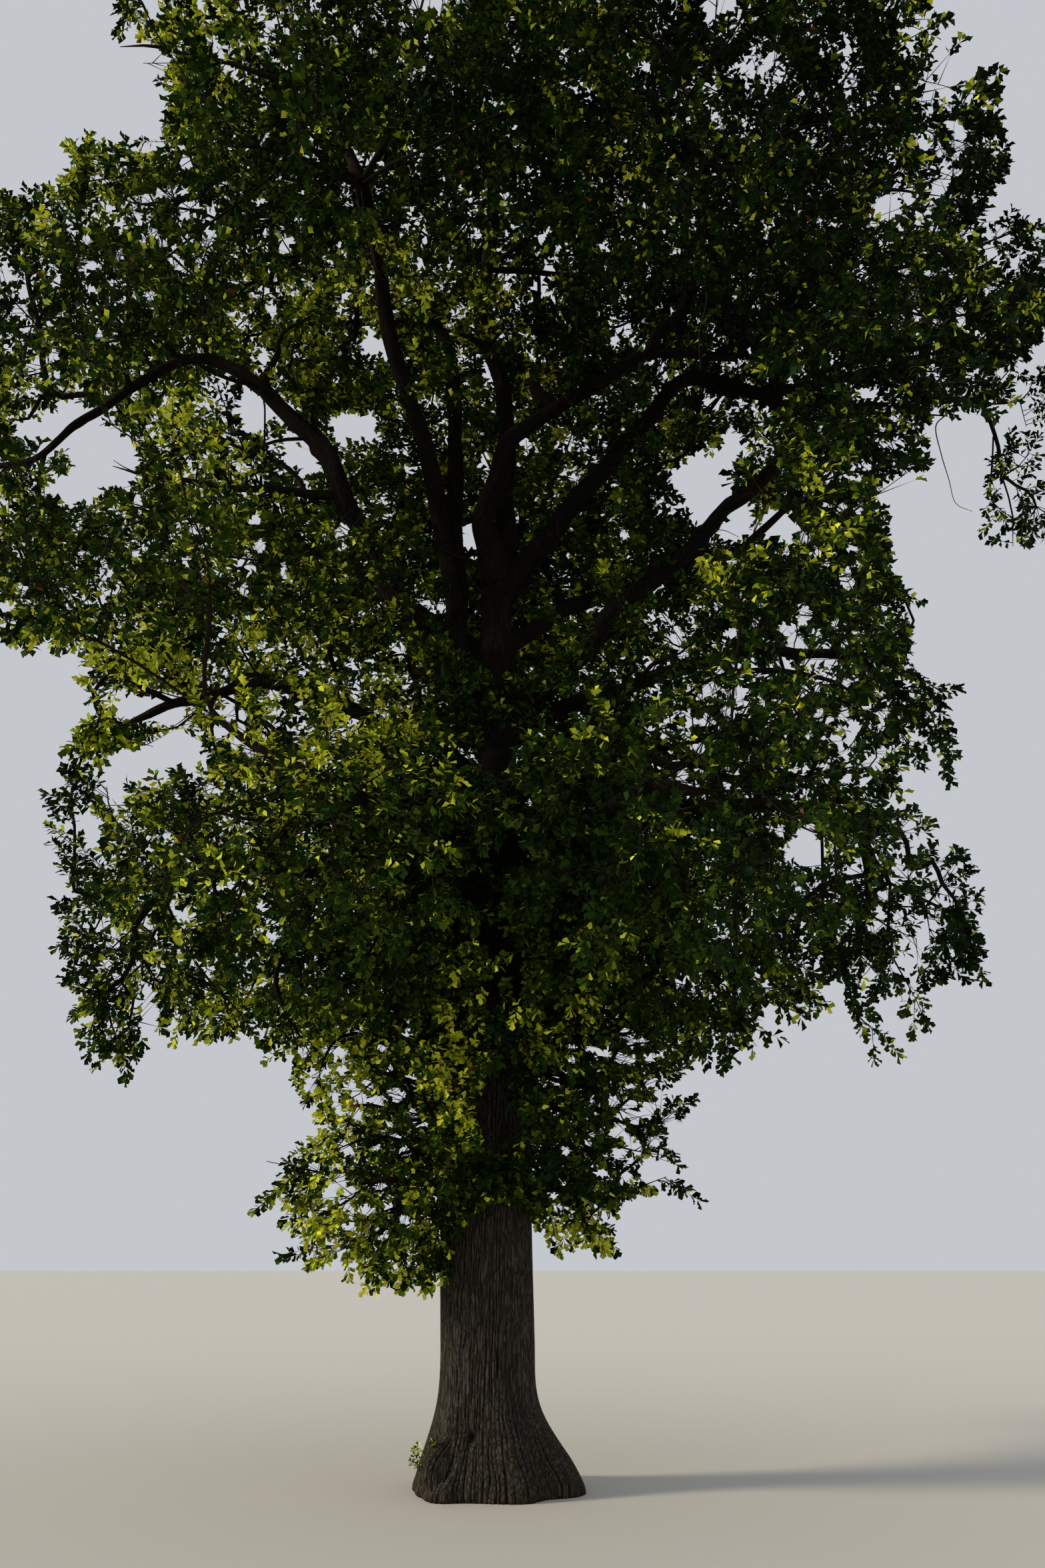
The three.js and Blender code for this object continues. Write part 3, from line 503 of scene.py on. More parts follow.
def crooked(points, amount, seed, steps=(0.9, 0.37)):
    """The same line with an oak's crooks: sideways shifts that fade out at its foot."""
    r = np.random.default_rng(seed)
    length = np.concatenate([[0], np.cumsum(np.linalg.norm(np.diff(points, axis=0), axis=1))])
    _, side, up = frames_along(points)
    fade = smooth(0, 0.5, length) * amount
    out = points.copy()
    for k, step in enumerate(steps):
        n = max(3, int(length[-1] / step) + 3)
        knots = np.linspace(0, length[-1], n)
        for axis in (side, up):
            wave = np.interp(length, knots, r.normal(0, 1, n))
            wave = np.convolve(np.pad(wave, 2, mode="edge"), [0.1, 0.2, 0.4, 0.2, 0.1], "valid")
            out += axis * (wave * fade * (0.55 ** k))[:, None]
    return out


limb_line, limb_wide = {}, {}
for index, (name, d) in enumerate(LIMBS.items()):
    t = np.linspace(0, 1, 72)
    line = limb_curve(name, t)
    line = crooked(line, 0.022 if "via" in d else 0.045, 900 + index)
    wide = d["thick"] + (d["thin"] - d["thick"]) * t ** 0.8
    limb_line[name], limb_wide[name] = line, wide
# a bough that grows on from another starts where that one now ends
for name, d in LIMBS.items():
    if isinstance(d["foot"], tuple):
        base, t0 = d["foot"]
        where = limb_line[base][int(round(t0 * 71))]
        fade = (1 - np.linspace(0, 1, 72))[:, None] ** 2
        limb_line[name] = limb_line[name] + (where - limb_line[name][0]) * fade


# Bark that the photograph shows clear of leaves: limb, from and to along it. A map over the frame, in cells of
# 4 pixels, holds how far ahead that bark is; sprays stay out of its way.
CLEAR = [("leader_centre", 0.06, 0.93), ("leader_right", 0.10, 0.24), ("leader_right", 0.30, 0.56), ("leader_right", 0.62, 0.92),
         ("leader_left", 0.40, 0.66), ("bough_front_left_high", 0.10, 0.30), ("bough_front_left_high", 0.36, 0.46),
         ("bough_front_left_high", 0.58, 0.82), ("bough_front_right_high", 0.0, 0.72), ("bough_left_great", 0.54, 1.0),
         ("bough_left_outer", 0.0, 0.97), ("bough_right_great", 0.50, 0.97), ("leader_top", 0.10, 0.30), ("leader_top", 0.40, 0.46)]
CLEAR_BOLE = [(8.45, 9.6, 1.0), (7.14, 7.36, 0.8)]
bark_ahead = np.full((588, 392), -1.0)
vv, uu = np.mgrid[0:588, 0:392] * 4.0 + 2.0


def clear_view(points, radii, share=1.0):
    u, v, z = on_frame(points)
    for k in range(len(points)):
        reach = radii[k] * FOCAL / z[k] * share + 2
        near = (uu - u[k]) ** 2 + (vv - v[k]) ** 2 < reach * reach
        bark_ahead[near] = np.maximum(bark_ahead[near], z[k])


for name, t0, t1 in CLEAR:
    part = slice(int(t0 * 71), int(t1 * 71) + 1)
    clear_view(limb_line[name][part], limb_wide[name][part])
for z0, z1, share in CLEAR_BOLE:
    z = np.arange(z0, z1, 0.06)
    clear_view(trunk_axis(z), trunk_radius(z), share)


def hides_bark(p, margin=0.06):
    """True for points between the eye and bark that the photograph shows."""
    u, v, z = on_frame(p)
    i, j = (v / 4).astype(int), (u / 4).astype(int)
    ok = (i >= 0) & (i < 588) & (j >= 0) & (j < 392)
    held = bark_ahead[np.clip(i, 0, 587), np.clip(j, 0, 391)]
    return ok & (held > 0) & (z < held - margin)


def limb_bark(name):
    line, wide = limb_line[name], limb_wide[name].copy()
    length = np.concatenate([[0], np.cumsum(np.linalg.norm(np.diff(line, axis=0), axis=1))])
    sides = 30 if wide[0] > 0.115 else 24
    collar = wide[0] * 0.32 * np.exp(-((length / (1.6 * wide[0] + 0.22)) ** 2)) * (0 if d_from(name) else 1)
    tangent, side, up = frames_along(line)
    a = np.arange(sides) * 2 * math.pi / sides
    aa, ll = np.meshgrid(a, length)
    count = max(9, int(round(2 * math.pi * wide[0] / 0.055)))
    plate = ridges(aa / (2 * math.pi), ll + hash_of(name) % 11, count, 300 + hash_of(name) % 97, 0.8)
    r = (wide + collar)[:, None] * (1 + 0.05 * np.sin(2 * aa + 3.1 * ll) + 0.04 * np.sin(3 * aa - 5.3 * ll)) - 0.011 * (1 - plate)
    knob = np.random.default_rng(hash_of(name))
    for _ in range(int(length[-1] * 1.3)):
        ka, kl = knob.uniform(0, 6.28), knob.uniform(0.3, max(0.4, length[-1]))
        r = r + wide[0] * knob.uniform(0.10, 0.30) * np.exp(-((turned(aa, ka) / 0.5) ** 2) - ((ll - kl) / (0.7 * wide[0])) ** 2)
    ring = np.cos(aa)[..., None] * side[:, None, :] + np.sin(aa)[..., None] * up[:, None, :]
    verts = line[:, None, :] + ring * r[..., None]
    n = len(line)
    i, j = np.meshgrid(np.arange(n - 1), np.arange(sides), indexing="ij")
    b0, b1 = i * sides + j, i * sides + (j + 1) % sides
    quads = np.stack([b0, b1, b1 + sides, b0 + sides], -1).reshape(-1, 4)
    verts = verts.reshape(-1, 3)
    verts = np.vstack([verts, line[0], line[-1] + tangent[-1] * wide[-1] * 0.5])
    k = np.arange(sides)
    k1 = (k + 1) % sides
    ends = np.vstack([np.stack([k1, k, np.full(sides, len(verts) - 2)], -1),
                      np.stack([(n - 1) * sides + k, (n - 1) * sides + k1, np.full(sides, len(verts) - 1)], -1)])
    faces = np.vstack([quads[:, [0, 1, 2]], quads[:, [0, 2, 3]], ends])
    normal = ring.reshape(-1, 3)[:, 2]
    algae = np.append(0.5 * smooth(0.1, 0.9, normal), [0, 0])
    ob = new_mesh("bark_" + name, verts, faces, values={"relief": np.append(plate.ravel(), [0.5, 0.5]), "algae": algae})
    ob.data.materials.append(bark_limb)
    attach(ob, "root")
    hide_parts(name)
    return ob


def d_from(name):
    return isinstance(LIMBS[name]["foot"], tuple)


def hash_of(text):
    n = 0
    for c in text:
        n = (n * 131 + ord(c)) % 1000003
    return n


for name in LIMBS:
    limb_bark(name)

# =======================================================================================================
# where the foliage is: a grid of 0.2 m cells filled from the masses
# =======================================================================================================
masses = sorted(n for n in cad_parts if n.startswith("foliage_"))
PITCH = 0.2
low = np.array([-7.8, -6.8, 0.8])
shape = np.array([78, 72, 92])
label = np.full(shape, -1, np.int16)
for k, name in enumerate(masses):
    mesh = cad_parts[name].data
    co = np.empty(len(mesh.vertices) * 3, np.float32)
    mesh.vertices.foreach_get("co", co)
    co = co.reshape(-1, 3)
    tree = BVHTree.FromPolygons([Vector(c) for c in co], [tuple(p.vertices) for p in mesh.polygons])
    lo = np.floor((co.min(0) - low) / PITCH).astype(int)
    hi = np.ceil((co.max(0) - low) / PITCH).astype(int)
    up = Vector((0, 0, 1))
    for ix in range(max(0, lo[0]), min(shape[0], hi[0] + 1)):
        for iy in range(max(0, lo[1]), min(shape[1], hi[1] + 1)):
            x, y = low[0] + (ix + 0.5) * PITCH, low[1] + (iy + 0.5) * PITCH
            z, cuts = float(co[:, 2].min()) - 1, []
            for _ in range(8):
                hit, _, _, _ = tree.ray_cast(Vector((x, y, z)), up)
                if hit is None:
                    break
                cuts.append(hit.z)
                z = hit.z + 1e-4
            for a, b in zip(cuts[::2], cuts[1::2]):
                ia, ib = int(round((a - low[2]) / PITCH)), int(round((b - low[2]) / PITCH))
                label[ix, iy, max(0, ia):max(0, ib)] = k
which = {name[8:]: k for k, name in enumerate(masses)}


def spread_once(a, corners):
    b = a.copy()
    for axis in range(3):
        src = b if corners else a
        s0, s1 = [slice(None)] * 3, [slice(None)] * 3
        s0[axis], s1[axis] = slice(1, None), slice(None, -1)
        add = np.zeros_like(a)
        add[tuple(s0)] |= src[tuple(s1)]
        add[tuple(s1)] |= src[tuple(s0)]
        b |= add
    return b


# the sleeve of young shoots round the trunk, between the lowest masses
cx, cy, cz = (low[i] + (np.arange(shape[i]) + 0.5) * PITCH for i in range(3))
gx, gy, gz = np.meshgrid(cx, cy, cz, indexing="ij")
axis_at = trunk_axis(gz)
away = np.hypot(gx - axis_at[..., 0], gy - axis_at[..., 1])
turn = np.arctan2(gy, gx)
sleeve_out = (trunk_radius(gz) + 0.22 + 0.62 * smooth(2.55, 3.6, gz) * (1 - 0.5 * smooth(7.0, 8.2, gz)) + 0.14 * np.sin(3 * turn + 2.1 * gz)
              + 0.75 * smooth(3.6, 4.5, gz) * (1 - smooth(6.2, 7.6, gz)))
sleeve = (away < sleeve_out) & (away > trunk_radius(gz) + 0.05) & (gz > 2.62) & (gz < 8.2) & (label < 0)
side_mass = np.where(np.cos(turn) < -0.2, which["low_left"], np.where(np.sin(turn) > 0.3, which["low_back"], which["low_right"]))
high_mass = np.where(np.cos(turn) < 0, which["skirt_left_inner"], which["skirt_right_inner"])
label[sleeve] = np.where(gz < 4.6, side_mass, high_mass)[sleeve]
# foliage in front of the forks' feet: pixel of the middle, depth, half sizes, mass
for u0, v0, y0, half, name in ((565, 935, -1.15, (0.95, 0.60, 1.15), "mid_left"), (905, 985, -1.15, (0.90, 0.60, 0.95), "mid_right"),
                               (660, 1090, -1.10, (0.75, 0.50, 0.70), "mid_left"), (820, 1130, -1.10, (0.80, 0.50, 0.75), "mid_right")):
    c0 = on_pixel(u0, v0, y0)
    veil = ((gx - c0[0]) / half[0]) ** 2 + ((gy - c0[1]) / half[1]) ** 2 + ((gz - c0[2]) / half[2]) ** 2 < 1
    label[veil & (label < 0)] = which[name]
# shoulders between the skirt and the high crown: middle, half sizes, mass
for c0, half, name in (((-3.4, -3.2, 7.8), (1.4, 1.2, 1.3), "mid_left"), ((3.2, -3.1, 7.8), (1.3, 1.2, 1.3), "mid_right"),
                       ((-3.4, -3.8, 9.6), (0.95, 1.0, 0.85), "mid_left"), ((3.6, -3.9, 9.4), (1.1, 1.1, 1.1), "mid_right")):
    shoulder = ((gx - c0[0]) / half[0]) ** 2 + ((gy - c0[1]) / half[1]) ** 2 + ((gz - c0[2]) / half[2]) ** 2 < 1
    label[shoulder & (label < 0)] = which[name]
# the crown's inside behind the forks
inner = (label < 0) & (gy > 1.1) & (gy < 3.6) & (np.abs(gx) < 3.2 - 0.10 * (gz - 9) ** 2 / 4) & (gz > 6.6) & (gz < 13.6)
label[inner] = np.where(gz < 10.3, which["mid_back"], which["high_back"])[inner]
# open clusters in front of the forks
airy = (label < 0) & (gy > -1.4) & (gy < 1.1) & (gx > -2.6) & (gx < 3.0) & (gz > 9.2) & (gz < 13.4)
label[airy] = np.where(gx < 0.1, which["top_left"], which["high_right_inner"])[airy]
filled = label >= 0

# cells between two masses that nearly touch belong to the crown
solid = filled & ~airy
closed = ~spread_once(~spread_once(solid, False), False) | solid
deep = np.zeros(shape, np.float32)
outside = ~closed
for step in range(14):
    outside = spread_once(outside, step % 2 == 1)
    deep[closed & ~outside] += 1
deep = deep * PITCH + PITCH * 0.5          # metres to the open air
soft = closed.astype(np.float32)
for _ in range(4):
    for axis in range(3):
        soft = (np.roll(soft, 1, axis) + soft * 2 + np.roll(soft, -1, axis)) / 4
outward = -np.stack(np.gradient(soft), -1)


def cell_of(p):
    return tuple(np.clip(((p - low) / PITCH).astype(int), 0, shape - 1).T)


def lumpy(p, size, seed):
    """A smooth value in about -1..1 that changes over `size` metres."""
    r = np.random.default_rng(seed)
    out = np.zeros(len(p))
    for _ in range(6):
        k = r.normal(0, 1, 3)
        k = k / np.linalg.norm(k) * (2 * math.pi / size) * r.uniform(0.6, 1.5)
        out += np.sin(p @ k + r.uniform(0, 6.28))
    return out / 2.4


def cover(p, direction, length=9.0, step=0.3):
    """Metres of foliage between each point and the open air that way."""
    total = np.zeros(len(p))
    for k in range(1, int(length / step)):
        q = ((p + direction * (k * step) - low) / PITCH).astype(int)
        ok = np.all((q >= 0) & (q < shape), axis=1)
        q = np.clip(q, 0, shape - 1)
        total += (solid[q[:, 0], q[:, 1], q[:, 2]] & ok) * step
    return total


# =======================================================================================================
# the branching rule
# =======================================================================================================
def scatter(gap, weight, seed):
    """Points in the filled cells, no two nearer than gap."""
    r = np.random.default_rng(seed)
    cells = np.argwhere(filled)
    cells = cells[r.uniform(0, 1, len(cells)) < weight(cells)]
    cells = cells[r.permutation(len(cells))]
    pts = low + (cells + r.uniform(0, 1, cells.shape)) * PITCH
    gaps = gap(pts) if callable(gap) else np.full(len(pts), gap)
    biggest = float(gaps.max())
    grid, taken = {}, []
    for i in range(len(pts)):
        p, g = pts[i], gaps[i]
        key = (int(p[0] // biggest), int(p[1] // biggest), int(p[2] // biggest))
        near = [j for dx in (-1, 0, 1) for dy in (-1, 0, 1) for dz in (-1, 0, 1)
                for j in grid.get((key[0] + dx, key[1] + dy, key[2] + dz), ())]
        if near and ((pts[near] - p) ** 2).sum(1).min() < g * g:
            continue
        grid.setdefault(key, []).append(i)
        taken.append(i)
    return pts[taken]


# the wood that branches can leave from: limbs and the upper trunk
start_pts, start_dir, start_cost, start_rad, start_tip = [], [], [], [], []
for name in LIMBS:
    line, wide = limb_line[name], limb_wide[name]
    tangent = unit(np.gradient(line, axis=0))
    for i in range(18, 72, 3):
        start_pts.append(line[i])
        start_dir.append(tangent[i])
        start_cost.append(0.25 + 0.55 * (71 - i) / 53)
        start_rad.append(wide[i])
        start_tip.append(None)
    start_pts.append(line[71])
    start_dir.append(tangent[71])
    start_cost.append(0.0)
    start_rad.append(wide[71])
    start_tip.append(name)
for z in np.arange(2.6, 9.4, 0.2):
    start_pts.append(trunk_axis(z))
    start_dir.append(np.array([0, 0, 1.0]))
    start_cost.append(1.0)
    start_rad.append(0.05)
    start_tip.append("trunk")
start_cost, start_rad = np.array(start_cost), np.array(start_rad)
S = len(start_pts)

node_pos, node_dir = list(start_pts), list(start_dir)
node_cost, node_parent, node_level, node_least = list(start_cost), [-1] * S, [0] * S, [0.0] * S


def add_node(p, parent, level, least=0.0):
    way = p - node_pos[parent]
    dist = float(np.linalg.norm(way))
    node_pos.append(p)
    node_dir.append(unit(0.75 * way / max(dist, 1e-6) + 0.25 * node_dir[parent]))
    node_cost.append(node_cost[parent] + dist)
    node_parent.append(parent)
    node_level.append(level)
    node_least.append(least)
    return len(node_pos) - 1


# branches that stand out in the photograph: pixels of the frame, the depths of their ends, and their radii.
# Each starts at the wood nearest to its first pixel there.
SEEN = [
    ([(505, 746), (462, 740), (415, 734), (385, 732), (346, 730), (300, 724), (250, 717), (215, 711), (169, 699)], -0.50, -1.2, 0.058, 0.014),
    ([(500, 772), (470, 768), (440, 766)], -0.4, -0.7, 0.026, 0.010),
    ([(713, 843), (685, 832), (656, 824), (625, 826), (598, 832)], -0.3, -0.9, 0.030, 0.012),
    ([(474, 639), (452, 590), (423, 548)], -0.3, -0.7, 0.045, 0.020),
    ([(377, 561), (408, 549), (420, 528), (427, 500)], -0.6, -0.9, 0.052, 0.024),
    ([(828, 606), (807, 588), (798, 565), (788, 541), (766, 525), (738, 511), (705, 503)], -0.50, -0.80, 0.082, 0.034),
    ([(758, 600), (752, 560), (735, 540), (718, 520)], 0.22, 0.05, 0.060, 0.040),
    ([(500, 765), (473, 749), (454, 718), (435, 699), (408, 688), (377, 678), (354, 672), (327, 655), (296, 642), (269, 615)], -0.45, -0.8, 0.034, 0.012),
    ([(458, 659), (431, 661), (404, 668), (388, 678), (369, 690), (346, 695)], -0.5, -0.9, 0.024, 0.012),
    ([(127, 592), (77, 588), (62, 595), (42, 626), (12, 628)], -0.45, -0.5, 0.038, 0.016),
    ([(1096, 750), (1123, 742), (1154, 740), (1185, 754), (1196, 785)], -0.45, -0.6, 0.024, 0.010),
    ([(888, 762), (912, 742), (935, 725), (960, 700)], 0.10, -0.1, 0.030, 0.014),
    ([(716, 785), (701, 760), (691, 745)], -0.25, -0.4, 0.018, 0.008),
    ([(838, 1300), (800, 1302), (760, 1310)], -0.6, -0.4, 0.030, 0.024),
    ([(1022, 682), (1052, 630), (1086, 588)], -0.1, -0.4, 0.024, 0.014),
    ([(412, 1030), (385, 1012), (350, 1026), (318, 1050), (318, 1095), (327, 1136)], -0.3, -0.6, 0.036, 0.014),
    ([(300, 1062), (265, 1090), (225, 1100), (200, 1075)], -0.6, -0.8, 0.016, 0.008),
    ([(420, 1240), (365, 1224), (300, 1209)], -0.8, -1.2, 0.028, 0.014),
    ([(520, 1306), (470, 1335), (415, 1369)], -0.6, -1.0, 0.026, 0.012),
    ([(540, 262), (500, 190), (450, 130), (385, 112), (310, 92), (235, 71), (180, 70)], -2.6, -3.1, 0.044, 0.014),
    ([(1200, 270), (1284, 281), (1350, 289), (1419, 295)], -0.4, -0.6, 0.036, 0.014),
    ([(1300, 560), (1379, 595), (1425, 600), (1469, 607), (1490, 655), (1504, 715), (1520, 775)], -0.2, -0.4, 0.034, 0.012),
    ([(1090, 1010), (1180, 1002), (1259, 1019), (1296, 1066)], -0.5, -0.8, 0.034, 0.014),
]
for track, y0, y1, r0, r1 in SEEN:
    steps = np.linspace(0, 1, len(track))
    pts = [on_pixel(u, v, y0 + (y1 - y0) * s) for (u, v), s in zip(track, steps)]
    have = np.array(node_pos)
    cost = np.linalg.norm(have - pts[0], axis=1) + 0.04 * np.array(node_cost)
    parent = int(np.argmin(cost))
    first = 0 if cost[parent] > 0.30 else 1
    for p, s in list(zip(pts, steps))[first:]:
        parent = add_node(p, parent, 1, r0 + (r1 - r0) * s)


def grow(points, level, balance, turn_cost, avoid=False):
    """Joins points to the tree one at a time, always the one that costs least: its distance, plus balance times
    the way back to the limb, and more if it turns back on the branch that it leaves."""
    left = np.arange(len(points))
    best = np.full(len(points), np.inf)
    who = np.zeros(len(points), int)

    def offer(k):
        way = points[left] - node_pos[k]
        dist = np.linalg.norm(way, axis=1)
        along = (way @ node_dir[k]) / np.maximum(dist, 1e-6)
        total = dist * (1 + turn_cost * np.clip(0.35 - along, 0, 2)) + balance * node_cost[k]
        near = np.where(total < best[left])[0]
        if avoid and len(near):
            total[near] += 3.0 * in_open(node_pos[k] + way[near] * 0.5, 8)
        better = total < best[left]
        best[left[better]] = total[better]
        who[left[better]] = k

    for k in range(len(node_pos)):
        offer(k)
    while len(left):
        i = left[np.argmin(best[left])]
        k = int(who[i])
        left = left[left != i]
        dist = float(np.linalg.norm(points[i] - node_pos[k]))
        # a point half way along a long reach lets side branches leave there
        if dist > 0.55 * (1.6 if level == 1 else 1.0):
            k = add_node((points[i] + node_pos[k]) / 2, k, level)
            if len(left):
                offer(k)
        k = add_node(points[i], k, level)
        if len(left):
            offer(k)


def weight_inner(cells):
    return np.where(deep[tuple(cells.T)] > 0.5, 1.0, np.where(airy[tuple(cells.T)], 0.0, 0.12))


branch_pts = scatter(1.35, weight_inner, 11)
branch_pts = branch_pts[~in_open(branch_pts, 16)]
grow(branch_pts, 1, 0.40, 1.2, True)


def unseen(p):
    """1 where the photograph cannot look, on the far side and above its edge; fewer and larger leaves do there."""
    return np.maximum(smooth(0.8, 3.2, p[:, 1]), smooth(15.3, 16.8, p[:, 2]))


def near_bole(p):
    """1 in the thick foliage round the bole, 0 away from it."""
    out = np.hypot(p[:, 0], p[:, 1])
    return smooth(2.5, 1.5, out) * smooth(7.6, 6.2, p[:, 2])


def weight_outer(cells):
    p = low + (cells + 0.5) * PITCH
    d = deep[tuple(cells.T)]
    clump = np.maximum(smooth(-0.75, 0.25, lumpy(p, 1.25, 5)), near_bole(p))
    shell = 0.10 + 0.90 * np.exp(-((np.maximum(d - 0.25, 0) / 0.75) ** 2))
    shell = np.where(inner[tuple(cells.T)], 0.85, np.maximum(shell, near_bole(p)))
    shell = np.where(airy[tuple(cells.T)], 0.30, shell)
    return np.clip(shell * (0.12 + 0.88 * clump), 0, 1)


def gap_outer(p):
    d = deep[cell_of(p)]
    gap = 0.495 + 0.42 * smooth(0.4, 1.6, d) * (1 - near_bole(p)) + 0.06 * lumpy(p, 1.6, 3) + 0.17 * unseen(p)
    gap = np.where(inner[cell_of(p)], 0.60, gap)
    gap = np.where(airy[cell_of(p)], 0.52, gap)
    return gap * (1 - 0.34 * near_bole(p))


twig_pts = scatter(gap_outer, weight_outer, 12)
twig_pts = twig_pts[~in_open(twig_pts, 8) & ~hides_bark(twig_pts)]
# sprays that hang out of the crown in the photograph: pixel and depth
HANGING = [
    (400, 1742, -0.6), (430, 1775, -0.5), (470, 1800, -0.4), (560, 1925, -0.5), (585, 1938, -0.6), (610, 1905, -0.7),
    (645, 1925, -0.75), (520, 1870, -0.5), (1000, 1765, -0.3), (965, 1735, -0.3), (1310, 1545, -0.6), (1285, 1520, -0.6),
    (1425, 1135, -0.3), (1400, 1100, -0.3), (1370, 930, -0.4), (1376, 965, -0.4), (1366, 1000, -0.4), (1360, 900, -0.4), (1470, 1335, -0.6), (1375, 1500, -0.5), (178, 1555, -0.6), (165, 1525, -0.6), (192, 1540, -0.6), (215, 1528, -0.6), (240, 1490, -0.7),
    (330, 1150, -0.6), (180, 1105, -0.7), (140, 1095, -0.5), (230, 1120, -0.7), (1520, 820, -0.4), (1535, 700, -0.4),
    (1555, 760, -0.4), (1500, 760, -0.4), (1540, 640, -0.4), (1480, 215, -0.5), (1505, 150, -0.5), (1460, 130, -0.5), (1490, 112, -0.5), (1470, 172, -0.5), (1440, 165, -0.5), (190, 45, -3.1),
    (205, 18, -3.1), (225, 60, -3.0), (250, 30, -3.0), (215, 95, -3.0), (60, 205, -0.5), (95, 195, -0.5), (890, 1868, -0.2), (905, 1840, -0.2), (840, 1862, 0.0), (870, 1835, 0.1),
    (830, 1820, 0.0), (900, 1800, -0.1), (860, 1795, -0.1), (930, 1760, -0.1), (975, 1715, -0.2), (945, 1700, -0.1), (990, 1680, -0.1),
    (668, 1800, -0.5), (655, 1830, -0.5), (676, 1845, -0.5), (650, 1870, -0.5), (660, 1895, -0.5), (640, 1850, -0.4), (630, 1890, -0.5), (690, 1785, -0.5),
    (684, 1600, -0.75), (676, 1650, -0.75), (668, 1700, -0.75), (700, 1690, -0.70), (704, 1560, -0.75), (692, 1520, -0.75), (664, 1740, -0.6),
    (450, 1752, -0.5), (490, 1768, -0.5), (520, 1800, -0.6), (482, 1735, -0.5), (540, 1830, -0.6), (510, 1848, -0.5), (560, 1880, -0.6), (600, 1870, -0.6),
    (736, 1490, -0.7), (728, 1530, -0.75), (742, 1556, -0.7), (720, 1575, -0.75), (752, 1530, -0.7),
    (705, 1745, -0.7), (728, 1750, -0.65), (752, 1748, -0.65), (776, 1752, -0.65), (798, 1750, -0.6), (716, 1766, -0.6), (764, 1764, -0.6), (792, 1770, -0.6),
    (108, 1205, -0.5), (112, 1240, -0.5), (108, 1290, -0.6), (112, 1340, -0.5), (122, 1390, -0.6), (132, 1440, -0.5), (152, 1490, -0.6),
    (140, 1040, -0.6), (150, 1075, -0.6), (146, 1108, -0.5), (128, 1190, -0.5), (160, 1180, -0.6), (150, 1420, -0.7), (180, 1470, -0.6), (205, 1420, -0.7),
    (318, 1078, -3.6), (350, 1100, -3.6), (380, 1126, -3.6), (412, 1146, -3.6), (446, 1166, -3.6), (482, 1192, -3.6),
    (1530, 600, -0.4), (1550, 570, -0.4), (1515, 690, -0.4), (1540, 735, -0.4),
    (1400, 1290, -0.6), (1420, 1330, -0.6), (1440, 1370, -0.6), (1452, 1400, -0.6), (1420, 1410, -0.6), (1390, 1360, -0.6),
    (1392, 905, -0.5), (1394, 945, -0.5), (1390, 980, -0.5), (125, 1480, -0.6), (120, 1515, -0.6), (150, 1550, -0.6), (200, 1500, -0.6),
    (520, 1760, -0.6), (560, 1790, -0.6), (600, 1760, -0.6), (590, 1830, -0.6), (620, 1800, -0.6),
    (790, 1520, -0.7), (806, 1560, -0.7), (782, 1610, -0.65), (800, 1650, -0.65), (780, 1680, -0.6), (815, 1690, -0.5), (780, 1545, -0.7),
]
extra = np.array([on_pixel(*h) for h in HANGING])
twig_pts = np.vstack([twig_pts, extra])
grow(twig_pts, 2, 0.30, 0.9, True)
node_pos, node_parent, node_level = np.array(node_pos), np.array(node_parent), np.array(node_level)
node_least = np.array(node_least)
print("branch nodes", len(branch_pts), "branchlet nodes", len(twig_pts), "all", len(node_pos))

# ---- sprays: shoots round each branchlet's end ---------------------------------------------------------
# painted sunlight: the leaf tones paint a low sun from behind-left, where no lamp stands; this is its direction
SUN_THERE = unit(np.array([-0.61, 0.79, 0.42]))            # towards the low light that comes from behind
ends = np.where(node_level == 2)[0]
r = np.random.default_rng(77)
d_end = deep[cell_of(node_pos[ends])]
count = np.clip(np.round(r.normal(5.0, 1.0, len(ends)) + 1.3 * lumpy(node_pos[ends], 2.2, 8) - 1.2 * smooth(0.5, 1.2, d_end)
                         + 3.0 * near_bole(node_pos[ends])), 2, 11).astype(int)
owner = np.repeat(np.arange(len(ends)), count)
tip_node, base_node = ends[owner], node_parent[ends][owner]
along = 1 - 0.75 * r.uniform(0, 1, len(owner)) ** 1.3
base = node_pos[base_node] * (1 - along)[:, None] + node_pos[tip_node] * along[:, None]
stem = unit(node_pos[tip_node] - node_pos[base_node])
out = unit(outward[cell_of(node_pos[tip_node])] + 1e-4)
shy = 0.35 + 0.65 * np.exp(-d_end[owner] / 0.8)
loose = unit(r.normal(0, 1, (len(owner), 3)))
way = unit(0.55 * stem + 0.70 * shy[:, None] * out + 0.85 * loose + np.array([0, 0, 0.10]))
reach = r.uniform(0.18, 0.44, len(owner))
tip = base + way * reach[:, None] - np.array([0, 0, 1.0]) * (0.05 * r.uniform(0, 1, len(owner)) * reach / 0.4)[:, None]
box_lo, box_hi = np.array(cad_box[0]) - 0.10, np.array(cad_box[1]) + 0.10
keep = ~in_open(tip, 3) & ~hides_bark(tip) & np.all((tip > box_lo) & (tip < box_hi), axis=1)
axis_tip = trunk_axis(tip[:, 2])
keep &= np.hypot(tip[:, 0] - axis_tip[:, 0], tip[:, 1] - axis_tip[:, 1]) > trunk_radius(tip[:, 2]) + 0.04
owner, tip_node, base, tip, way = owner[keep], tip_node[keep], base[keep], tip[keep], way[keep]
print("sprays", len(tip))

# ---- how much each node carries ------------------------------------------------------------------------
load = np.zeros(len(node_pos))
np.add.at(load, tip_node, 1)
for i in range(len(node_pos) - 1, S - 1, -1):       # parents come before their children
    load[node_parent[i]] += load[i]
children = [[] for _ in range(len(node_pos))]
for i in range(S, len(node_pos)):
    if load[i] > 0 or node_least[i] > 0:
        children[node_parent[i]].append(i)
SPRAY_RADIUS = 0.0046
